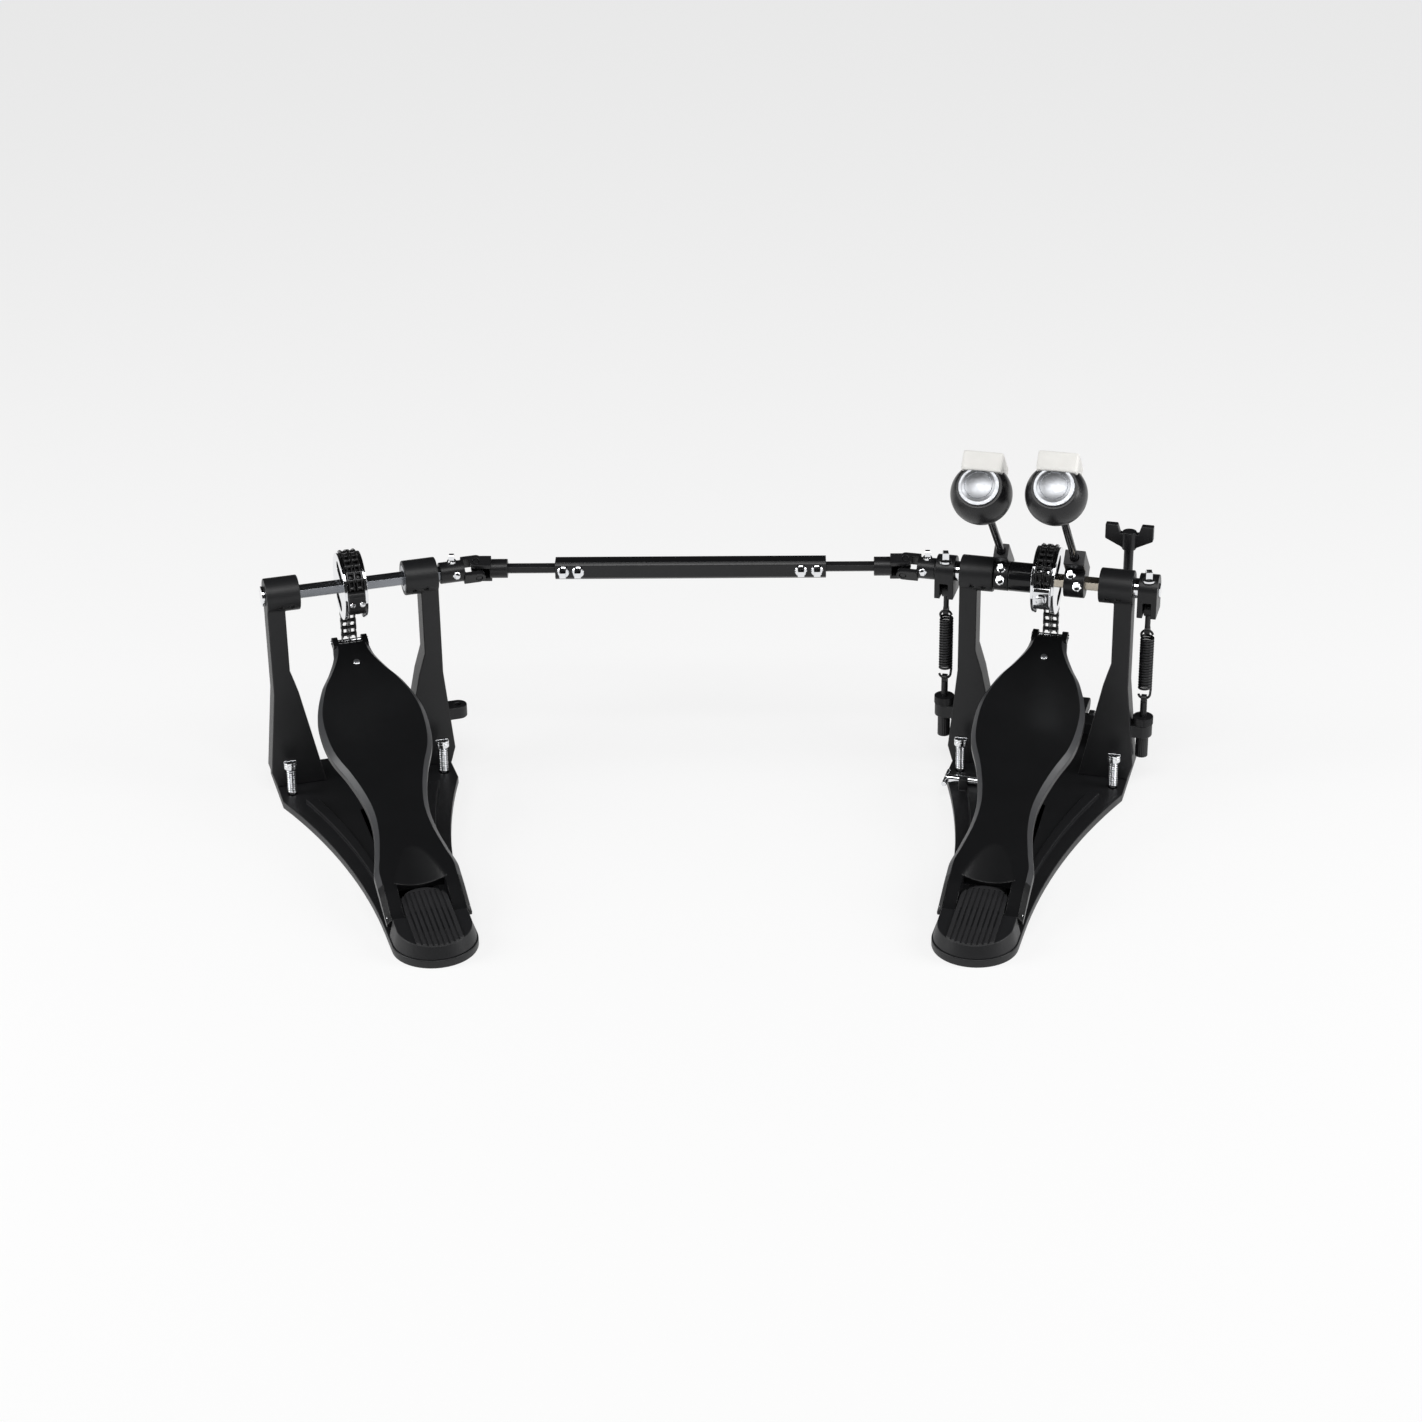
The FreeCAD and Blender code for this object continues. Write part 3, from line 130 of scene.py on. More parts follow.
# Studio: pale floor that keeps the shadow, a sky that darkens upward, soft boxes at the sides and over the camera
studio = {
    "floorSize": 30.0, "floorColour": (0.88, 0.88, 0.88, 1), "floorWhite": 0.78,
    "zenith": 0.10, "horizon": 0.70, "skySpan": (0.1, 0.85),
    "boxes": {
        "overCamera": {"at": (-0.3, -1.5, 2.3), "size": (2.4, 1.0), "power": 40},
        "rightSide": {"at": (1.5, -0.5, 1.0), "size": (0.9, 1.6), "power": 24},
        "leftSide": {"at": (-2.1, -0.5, 1.0), "size": (0.9, 1.6), "power": 24},
    },
}


def cameraOrShine(nodes, links):
    path = nodes.new("ShaderNodeLightPath")
    total = path.outputs["Is Camera Ray"]
    for ray in ("Is Glossy Ray", "Is Transmission Ray"):
        both = nodes.new("ShaderNodeMath")
        both.operation = "MAXIMUM"
        links.new(total, both.inputs[0])
        links.new(path.outputs[ray], both.inputs[1])
        total = both.outputs[0]
    return total


floorMesh = bpy.data.meshes.new("floor")
half = studio["floorSize"] / 2
floorMesh.from_pydata([(-half, -half, 0), (half, -half, 0), (half, half, 0), (-half, half, 0)], [], [(0, 1, 2, 3)])
floor = bpy.data.objects.new("floor", floorMesh)
scene.collection.objects.link(floor)
floor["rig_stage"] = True
floorFinish = bpy.data.materials.new("floorWhite")
floorFinish.use_nodes = True
nodes, links = floorFinish.node_tree.nodes, floorFinish.node_tree.links
nodes["Principled BSDF"].inputs["Base Color"].default_value = studio["floorColour"]
nodes["Principled BSDF"].inputs["Roughness"].default_value = 1.0
nodes["Principled BSDF"].inputs["Specular IOR Level"].default_value = 0.0
glow = nodes.new("ShaderNodeEmission")
glow.inputs["Strength"].default_value = 1.0
blendIn = nodes.new("ShaderNodeMixShader")
seen = cameraOrShine(nodes, links)
share = nodes.new("ShaderNodeMath")
share.operation = "MULTIPLY"
share.inputs[1].default_value = studio["floorWhite"]
links.new(seen, share.inputs[0])
links.new(share.outputs[0], blendIn.inputs[0])
links.new(nodes["Principled BSDF"].outputs[0], blendIn.inputs[1])
links.new(glow.outputs[0], blendIn.inputs[2])
links.new(blendIn.outputs[0], nodes["Material Output"].inputs["Surface"])
floorMesh.materials.append(floorFinish)

world = bpy.data.worlds.new("studioWorld")
scene.world = world
world.use_nodes = True
nodes, links = world.node_tree.nodes, world.node_tree.links
sky = nodes["Background"]
place = nodes.new("ShaderNodeTexCoord")
apart = nodes.new("ShaderNodeSeparateXYZ")
ramp = nodes.new("ShaderNodeMapRange")
ramp.inputs["From Min"].default_value, ramp.inputs["From Max"].default_value = studio["skySpan"]
ramp.inputs["To Min"].default_value = studio["horizon"]
ramp.inputs["To Max"].default_value = studio["zenith"]
links.new(place.outputs["Generated"], apart.inputs[0])
links.new(apart.outputs["Z"], ramp.inputs["Value"])
links.new(ramp.outputs[0], sky.inputs["Strength"])

for name, lamp in studio["boxes"].items():
    light = bpy.data.lights.new(name, "AREA")
    light.shape = "RECTANGLE"
    light.size, light.size_y = lamp["size"]
    light.energy = lamp["power"]
    box = bpy.data.objects.new(name, light)
    box.location = lamp["at"]
    box.rotation_euler = (Vector(view["target"]) - Vector(lamp["at"])).to_track_quat("-Z", "Y").to_euler()
    scene.collection.objects.link(box)
print("studio set")


# Finishes: each has a broad drift of colour, a fine grain in the roughness and a grain that stands up
finishes = {
    "castBlack": {"colour": (0.011, 0.0113, 0.0123), "rough": 0.44, "grain": 1500, "bump": 0.10, "drift": 0.22,
                  "shine": 0.36},
    "boardBlack": {"colour": (0.006, 0.0062, 0.0068), "rough": 0.34, "grain": 2200, "bump": 0.03, "drift": 0.2,
                   "shine": 0.4},
    # Painted highlight: a lighter grey copy of the board black, laid on the boards' sloped side bevels
    "paintedEdgeHighlight": {"colour": (0.046, 0.047, 0.050), "rough": 0.36, "grain": 2200, "bump": 0.03, "drift": 0.15},
    "satinBlack": {"colour": (0.010, 0.010, 0.011), "rough": 0.36, "grain": 1800, "bump": 0.04, "drift": 0.2,
                   "shine": 0.36},
    "glossBlack": {"colour": (0.008, 0.008, 0.009), "rough": 0.16, "grain": 900, "bump": 0.01, "drift": 0.2,
                   "shine": 0.36},
    "ballBlack": {"colour": (0.008, 0.008, 0.009), "rough": 0.30, "grain": 600, "bump": 0.015, "drift": 0.2,
                  "shine": 0.4},
    "rubberBlack": {"colour": (0.014, 0.014, 0.0155), "rough": 0.62, "grain": 2600, "bump": 0.12, "drift": 0.3},
    "chainBlack": {"colour": (0.040, 0.040, 0.041), "rough": 0.30, "grain": 2500, "bump": 0.05, "drift": 0.3,
                   "metal": 0.7},
    "chrome": {"colour": (0.80, 0.81, 0.83), "rough": 0.07, "grain": 400, "bump": 0.006, "drift": 0.04, "metal": 1.0},
    "capChrome": {"colour": (0.44, 0.45, 0.47), "rough": 0.40, "grain": 400, "bump": 0.006, "drift": 0.04,
                  "metal": 1.0},
    "darkSteel": {"colour": (0.24, 0.25, 0.27), "rough": 0.26, "grain": 2400, "bump": 0.03, "drift": 0.2,
                  "metal": 1.0, "brushed": layout["slaveToe"]},
    "warmSteel": {"colour": (0.55, 0.50, 0.42), "rough": 0.24, "grain": 2400, "bump": 0.03, "drift": 0.15,
                  "metal": 1.0, "brushed": layout["mainToe"]},
    "feltWhite": {"colour": (0.80, 0.79, 0.76), "rough": 0.95, "grain": 1300, "bump": 0.55, "drift": 0.12,
                  "sheen": 0.4},
}
grainPlan = {"drawnOut": 30, "fineDetail": 3.0, "broadScale": 38.0, "broadDetail": 4.0, "height": 0.0004,
             "range": (0.3, 0.7), "spread": 0.15}


def makeFinish(name, look):
    material = bpy.data.materials.new(name)
    material.use_nodes = True
    nodes, links = material.node_tree.nodes, material.node_tree.links
    shader = nodes["Principled BSDF"]
    shader.inputs["Metallic"].default_value = look.get("metal", 0.0)
    shader.inputs["Specular IOR Level"].default_value = look.get("shine", 0.5)
    shader.inputs["Sheen Weight"].default_value = look.get("sheen", 0.0)
    place = nodes.new("ShaderNodeTexCoord")
    turn = nodes.new("ShaderNodeMapping")
    if "brushed" in look:  # grain drawn out along the shaft
        turn.vector_type = "TEXTURE"
        turn.inputs["Rotation"].default_value = (0, 0, math.radians(look["brushed"]))
        turn.inputs["Scale"].default_value = (grainPlan["drawnOut"], 1, 1)
    links.new(place.outputs["Object"], turn.inputs["Vector"])
    fine = nodes.new("ShaderNodeTexNoise")
    fine.inputs["Scale"].default_value = look["grain"]
    fine.inputs["Detail"].default_value = grainPlan["fineDetail"]
    links.new(turn.outputs[0], fine.inputs["Vector"])
    broad = nodes.new("ShaderNodeTexNoise")
    broad.inputs["Scale"].default_value = grainPlan["broadScale"]
    broad.inputs["Detail"].default_value = grainPlan["broadDetail"]
    links.new(place.outputs["Object"], broad.inputs["Vector"])
    drift = nodes.new("ShaderNodeMix")
    drift.data_type = "RGBA"
    for socket, sign in (("A_Color", -1), ("B_Color", 1)):
        level = 1 + sign * look["drift"]
        chosen = next(s for s in drift.inputs if s.identifier == socket)
        chosen.default_value = (*[min(1.0, part * level) for part in look["colour"]], 1)
    links.new(broad.outputs["Fac"], drift.inputs["Factor"])
    links.new(next(s for s in drift.outputs if s.identifier == "Result_Color"), shader.inputs["Base Color"])
    dull = nodes.new("ShaderNodeMapRange")
    dull.inputs["From Min"].default_value, dull.inputs["From Max"].default_value = grainPlan["range"]
    dull.inputs["To Min"].default_value = look["rough"] * (1 - grainPlan["spread"])
    dull.inputs["To Max"].default_value = min(1.0, look["rough"] * (1 + grainPlan["spread"]))
    links.new(fine.outputs["Fac"], dull.inputs["Value"])
    links.new(dull.outputs[0], shader.inputs["Roughness"])
    raised = nodes.new("ShaderNodeBump")
    raised.inputs["Strength"].default_value = look["bump"]
    raised.inputs["Distance"].default_value = grainPlan["height"]
    links.new(fine.outputs["Fac"], raised.inputs["Height"])
    links.new(raised.outputs[0], shader.inputs["Normal"])
    return material


finish = {name: makeFinish(name, look) for name, look in finishes.items()}
print("finishes made:", len(finish))


# Turns a piece with modifiers into a plain mesh
def plain(piece):
    bpy.context.view_layer.update()
    graph = bpy.context.evaluated_depsgraph_get()
    mesh = bpy.data.meshes.new_from_object(piece.evaluated_get(graph), preserve_all_data_layers=True, depsgraph=graph)
    piece.modifiers.clear()
    old = piece.data
    piece.data = mesh
    bpy.data.meshes.remove(old)
    mesh.name = piece.name


edgePlan = {"weld": 2e-6, "flat": 0.4, "sharp": 33}


def roundEdges(piece, width, limit="ANGLE", clamped=False):
    bevel = piece.modifiers.new("edges", "BEVEL")
    bevel.width = width * mm
    bevel.segments = 2
    bevel.limit_method = limit
    bevel.angle_limit = math.radians(edgePlan["sharp"])
    bevel.use_clamp_overlap = clamped
    flat = piece.modifiers.new("flat", "WEIGHTED_NORMAL")
    flat.keep_sharp = True
    return bevel


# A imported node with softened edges, standing in for the node itself. Rules give faces another finish by their
# middle and their way out, in the given frame in millimetres.
def softened(node, look, edge, rules=(), inside=mainPedal, bend=None):
    source = frame["nodes"][node]
    mesh = source.data.copy()
    mesh.materials.clear()
    for name in [look] + [rule[1] for rule in rules]:
        mesh.materials.append(finish[name])
    work = bmesh.new()
    work.from_mesh(mesh)
    bmesh.ops.remove_doubles(work, verts=work.verts, dist=edgePlan["weld"])
    bmesh.ops.dissolve_limit(work, angle_limit=math.radians(edgePlan["flat"]), verts=work.verts, edges=work.edges)
    back = inside.inverted()
    if bend:
        for vertex in work.verts:
            vertex.co = inside @ (bend(back @ vertex.co / mm) * mm)
    for face in work.faces:
        face.smooth = True
        face.material_index = 0
        spot = back @ face.calc_center_median() / mm
        out = back.to_3x3() @ face.normal
        for number, rule in enumerate(rules, 1):
            if rule[0](spot, out):
                face.material_index = number
    work.to_mesh(mesh)
    work.free()
    piece = bpy.data.objects.new(node + "_dressed", mesh)
    scene.collection.objects.link(piece)
    roundEdges(piece, edge).miter_outer = "MITER_ARC"
    plain(piece)
    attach(piece, source["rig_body"])
    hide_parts(node)


# Node trees: growTree opens one, step adds a node to it, closeTree ends it, grown runs it on points
def growTree(name, sizes):
    tree = bpy.data.node_groups.new(name, "GeometryNodeTree")
    tree.interface.new_socket("Geometry", in_out="INPUT", socket_type="NodeSocketGeometry")
    for label, value in sizes.items():
        kind = "NodeSocketInt" if isinstance(value, int) else "NodeSocketFloat"
        tree.interface.new_socket(label, in_out="INPUT", socket_type=kind).default_value = value
    tree.interface.new_socket("Finish", in_out="INPUT", socket_type="NodeSocketMaterial")
    tree.interface.new_socket("Geometry", in_out="OUTPUT", socket_type="NodeSocketGeometry")
    return tree, tree.nodes.new("NodeGroupInput").outputs


def step(tree, kind, ties, options=None):
    made = tree.nodes.new(kind)
    for key, value in (options or {}).items():
        setattr(made, key, value)
    for key, value in ties.items():
        if isinstance(value, bpy.types.NodeSocket):
            tree.links.new(value, made.inputs[key])
        else:
            made.inputs[key].default_value = value
    return made.outputs[0]


def sum2(tree, first, second, way="ADD"):
    return step(tree, "ShaderNodeMath", {0: first, 1: second}, {"operation": way})


def spot3(tree, x=0.0, y=0.0, z=0.0):
    return step(tree, "ShaderNodeCombineXYZ", {0: x, 1: y, 2: z})


def shifted(tree, mesh, place=(0, 0, 0), turn=(0, 0, 0)):
    return step(tree, "GeometryNodeTransform", {"Geometry": mesh, "Translation": place, "Rotation": turn})


def together(tree, *meshes):
    join = tree.nodes.new("GeometryNodeJoinGeometry")
    for mesh in meshes:
        tree.links.new(mesh, join.inputs[0])
    return join.outputs[0]


def onPoints(tree, points, piece, turn, only=True):
    ties = {"Points": points, "Instance": piece, "Rotation": turn, "Selection": only}
    return step(tree, "GeometryNodeInstanceOnPoints", ties)


def aimed(tree, label="aim"):
    aim = step(tree, "GeometryNodeInputNamedAttribute", {"Name": label}, {"data_type": "FLOAT_VECTOR"})
    return step(tree, "FunctionNodeAlignRotationToVector", {"Vector": aim}, {"axis": "Z"})


def closeTree(tree, mesh, given, smooth):
    solid = step(tree, "GeometryNodeRealizeInstances", {"Geometry": mesh})
    shaded = step(tree, "GeometryNodeSetShadeSmooth", {"Geometry": solid, "Shade Smooth": smooth})
    painted = step(tree, "GeometryNodeSetMaterial", {"Geometry": shaded, "Material": given["Finish"]})
    tree.links.new(painted, tree.nodes.new("NodeGroupOutput").inputs[0])
    return tree


def runTree(piece, tree, sizes, look):
    maker = piece.modifiers.new("maker", "NODES")
    maker.node_group = tree
    sockets = {item.name: item.identifier for item in tree.interface.items_tree if item.in_out == "INPUT"}
    for label, value in sizes.items():
        maker[sockets[label]] = value
    maker[sockets["Finish"]] = finish[look]
    plain(piece)


def grown(name, tree, sizes, look, points, body, marks=None, edges=(), stands=()):
    mesh = bpy.data.meshes.new(name)
    mesh.from_pydata(points, edges, [])
    for label, (kind, values) in (marks or {}).items():
        field = "vector" if kind == "FLOAT_VECTOR" else "value"
        mark = mesh.attributes.new(label, kind, "POINT")
        for entry, value in zip(mark.data, values):
            setattr(entry, field, value)
    piece = bpy.data.objects.new(name, mesh)
    scene.collection.objects.link(piece)
    runTree(piece, tree, sizes, look)
    for label in (marks or {}):
        if label in piece.data.attributes:
            piece.data.attributes.remove(piece.data.attributes[label])
    if body:
        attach(piece, body)
    for node in stands:
        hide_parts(node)
    return piece


# Where a line from outside, against the given way out, first meets a node
skins = {}
startOut = 0.06


def seat(node, inside, spot, out):
    if node not in skins:
        mesh = frame["nodes"][node].data
        skins[node] = BVHTree.FromPolygons([v.co for v in mesh.vertices], [p.vertices for p in mesh.polygons])
    way = (inside.to_3x3() @ Vector(out)).normalized()
    start = inside @ (Vector(spot) * mm) + way * startOut
    hit = skins[node].ray_cast(start, -way)[0]
    if hit is None:
        raise ValueError(f"nothing of {node} under {spot}")
    return hit, way


# The top of the heel falls away to the back and its sides lean in, and the pad lies along it
heelPlan = {"shoulder": -280.0, "middle": -295.0, "top": 21.5, "fall": 0.09, "lean": 3.4, "bend": -262.5}


def heelFall(spot):
    if spot.z < heelPlan["top"] - 1 or spot.y > heelPlan["shoulder"]:
        return spot
    level = spot.z - heelPlan["fall"] * (heelPlan["shoulder"] - spot.y)
    away = Vector((spot.x, min(0.0, spot.y - heelPlan["middle"]), 0))
    inner = away * (1 - heelPlan["lean"] / away.length)
    return Vector((spot.x + inner.x - away.x, spot.y + inner.y - away.y, level))


def padFall(spot):
    return Vector((spot.x, spot.y, spot.z - heelPlan["fall"] * max(0.0, heelPlan["bend"] - spot.y)))


# Castings, pads and cams
castEdges = {"base_plate": 0.9, "left_post": 0.9, "right_post": 0.9, "heel_plate": 0.7, "heel_pad": 0.2}
camPlan = {"edge": 0.25, "cheek": 7.1, "blockFrom": -14, "blockHalf": 7.3,
           "block": {"main": "chrome", "slave": "satinBlack"}}
cheeks = lambda spot, out: abs(spot.x) > camPlan["cheek"]
anchor = lambda spot, out: spot.y < camPlan["blockFrom"] and abs(spot.x) < camPlan["blockHalf"]
for name, pedal in pedals.items():
    for part in ("base_plate", "left_post", "right_post"):
        softened(f"{name}_{part}", "castBlack", castEdges[part])
    softened(f"{name}_heel_plate", "castBlack", castEdges["heel_plate"], inside=pedal, bend=heelFall)
    softened(f"{name}_heel_pad", "rubberBlack", castEdges["heel_pad"], inside=pedal, bend=padFall)
    softened(f"{name}_cam", "satinBlack", camPlan["edge"], [(cheeks, "chrome"), (anchor, camPlan["block"][name])],
             pedal @ onShaft)
print("castings dressed")


# Footboards, drawn from the hinge up the board: half widths at stations, then heights, notch, scoop, prongs and lugs
boardPlan = {
    "widths": [(-4.0, 34.0), (40.8, 34.0), (61.3, 30.0), (85.0, 25.6), (107.9, 24.4), (130.0, 27.3), (154.4, 33.6),
               (180.0, 42.2), (206.0, 45.0), (230.0, 43.3), (259.3, 34.3), (277.0, 25.0), (295.5, 17.3), (311.0, 15.0)],
    "top": 7.5, "under": -2.5, "bevel": 4.5, "inset": 4.05, "wall": 4.5, "ceiling": 2.4,
    "notch": 19.3, "notchEnd": 29.8, "scoopEnd": 67.0, "scoopDepth": 6.0, "scoopRadius": 38.0, "hollowStart": 72.0,
    "end": 308.6, "prongEnd": -6.2, "prongTop": 5.3, "prongFall": 22.0, "toePin": (315.1, 3.33), "lug": 4.2,
    "lugSpan": (10.0, 15.0), "lugRoot": 305.6, "screwAt": 284, "edge": 0.45, "columns": 36, "rows": 180,
    "prongRows": 12, "sharp": 30, "closed": 0.02, "highlightStrip": (0.3, 0.95), "seamSide": 0.5, "seamReach": 0.001,
}


# Half width at a place up the board: a smooth curve through the stations
def boardHalf(along):
    spots = boardPlan["widths"]
    slopes = []
    for number in range(len(spots)):
        before, after = spots[max(0, number - 1)], spots[min(len(spots) - 1, number + 1)]
        slopes.append((after[1] - before[1]) / (after[0] - before[0]))
    slopes[0] = slopes[1] = 0.0
    for number in range(len(spots) - 1):
        (low, first), (high, last) = spots[number], spots[number + 1]
        if along <= high or number == len(spots) - 2:
            span = high - low
            share = min(1.0, max(0.0, (along - low) / span))
            square, cube = share ** 2, share ** 3
            return ((2 * cube - 3 * square + 1) * first + (cube - 2 * square + share) * span * slopes[number]
                    + (3 * square - 2 * cube) * last + (cube - square) * span * slopes[number + 1])


def boardTop(x, along):
    plan = boardPlan
    if along < plan["notchEnd"]:
        share = min(1.0, max(0.0, along / plan["prongFall"]))
        return plan["prongTop"] + (plan["top"] - plan["prongTop"]) * share
    fall = plan["scoopDepth"] * (1 - (along - plan["notchEnd"]) / (plan["scoopEnd"] - plan["notchEnd"]))
    return plan["top"] - max(0.0, fall - x * x / (2 * plan["scoopRadius"]))


def spread(low, high, count):
    return [low + (high - low) * number / count for number in range(count + 1)]


# Closed skin over rings that all have the same number of corners
def skinOver(shape, stations):
    rows = [[shape.verts.new(spot) for spot in ring] for ring in stations]
    for one, two in zip(rows, rows[1:]):
        for number in range(len(one)):
            after = (number + 1) % len(one)
            shape.faces.new((one[number], one[after], two[after], two[number]))
    shape.faces.new(rows[0][::-1])
    shape.faces.new(rows[-1])


def boardRing(along, low=None, high=None, hollow=False):
    plan = boardPlan
    half = boardHalf(along)
    left = -half if low is None else low
    right = half if high is None else high
    leftTop = left + plan["inset"] if low is None else left
    rightTop = right - plan["inset"] if high is None else right
    edge = boardTop(half, along)
    ring = [(left, plan["under"]), (left, edge - (plan["bevel"] if low is None else 0.0))]
    ring += [(x, boardTop(x, along)) for x in spread(leftTop, rightTop, plan["columns"])]
    ring += [(right, edge - (plan["bevel"] if high is None else 0.0)), (right, plan["under"])]
    if hollow:
        ceiling = plan["ceiling"] if along > plan["hollowStart"] else plan["under"] + plan["closed"]
        ring += [(right - plan["wall"], plan["under"]), (right - plan["wall"], ceiling),
                 (left + plan["wall"], ceiling), (left + plan["wall"], plan["under"])]
    return [Vector((x, along, z)) for x, z in reversed(ring)]


def roundAngles(count):
    return [2 * math.pi * number / count for number in range(count)]


def drum(shape, radius, span, along, up, count=40):
    skinOver(shape, [[Vector((x, along + radius * math.cos(angle), up + radius * math.sin(angle)))
                      for angle in roundAngles(count)] for x in span])


# Piece from a drawn shape, with softened edges
def solidFrom(shape, name, look, inside, body, edge, stands=()):
    bmesh.ops.recalc_face_normals(shape, faces=shape.faces)
    for face in shape.faces:
        face.smooth = True
    shape.transform(Matrix.Scale(mm, 4))
    shape.transform(inside)
    mesh = bpy.data.meshes.new(name)
    mesh.materials.append(finish[look])
    shape.to_mesh(mesh)
    shape.free()
    piece = bpy.data.objects.new(name, mesh)
    scene.collection.objects.link(piece)
    roundEdges(piece, edge, clamped=True)
    plain(piece)
    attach(piece, body)
    for node in stands:
        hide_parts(node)


def makeBoard(name, pedal):
    plan = boardPlan
    shape = bmesh.new()
    skinOver(shape, [boardRing(along, hollow=True) for along in spread(plan["notchEnd"], plan["end"], plan["rows"])])
    for side in (1, -1):
        low, high = (plan["notch"], None) if side > 0 else (None, -plan["notch"])
        stations = spread(plan["prongEnd"], plan["notchEnd"], plan["prongRows"])
        skinOver(shape, [boardRing(spot, low, high) for spot in stations])
        drum(shape, plan["lug"], sorted(side * x for x in plan["lugSpan"]), *plan["toePin"])
        tip, level = plan["toePin"]
        corners = ((plan["lugRoot"], -1), (tip, -1), (tip, 1), (plan["lugRoot"], 1))
        skinOver(shape, [[Vector((side * x, spot, level + plan["lug"] * up)) for spot, up in corners]
                         for x in plan["lugSpan"]])
    bmesh.ops.recalc_face_normals(shape, faces=shape.faces)
    sloped = onBoard(pedal)
    mesh = bpy.data.meshes.new(f"{name}_footboard_dressed")
    for look in ("boardBlack", "paintedEdgeHighlight"):
        mesh.materials.append(finish[look])
    for face in shape.faces:
        face.smooth = True
        middle = face.calc_center_median()
        # Faces on the sloped side bevels take the lighter grey finish, a painted highlight along the board's edges
        highlightStrip = plan["highlightStrip"][0] < face.normal.z < plan["highlightStrip"][1]
        highlightStrip = highlightStrip and abs(middle.x) > boardHalf(middle.y) - plan["inset"]
        face.material_index = 1 if highlightStrip and plan["notchEnd"] < middle.y < plan["end"] else 0
    weights = shape.edges.layers.float.new("bevel_weight_edge")
    for edge in shape.edges:
        sharp = edge.calc_face_angle(0.0) > math.radians(plan["sharp"])
        seam = all(abs(vertex.co.y - plan["notchEnd"]) < plan["seamReach"] for vertex in edge.verts)
        seam = seam and all(abs(vertex.co.x) > plan["notch"] - plan["seamSide"] for vertex in edge.verts)
        edge[weights] = 1.0 if sharp and not seam else 0.0
        edge.smooth = not seam
    shape.transform(Matrix.Scale(mm, 4))
    shape.transform(sloped)
    shape.to_mesh(mesh)
    shape.free()
    piece = bpy.data.objects.new(mesh.name, mesh)
    scene.collection.objects.link(piece)
    roundEdges(piece, plan["edge"], "WEIGHT")
    plain(piece)
    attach(piece, f"{name}_board")
    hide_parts(f"{name}_footboard")


for name, pedal in pedals.items():
    makeBoard(name, pedal)
print("boards shaped")


# Duplex roller chain: pin links with three plates, roller links with four
chainSizes = {"Pitch": 6.35, "Roller": 3.3, "Roller Width": 3.0, "Plate Height": 5.6, "Plate": 0.75, "Strand": 3.2,
              "Pin": 2.0, "Fit": 0.12}
chainPlan = {"radius": 27.0, "onCam": 4, "held": 8, "run": 10, "corner": 0.47,
             "toePin": {"thick": 3.6, "half": 16.0, "corners": 24, "edge": 0.3}}


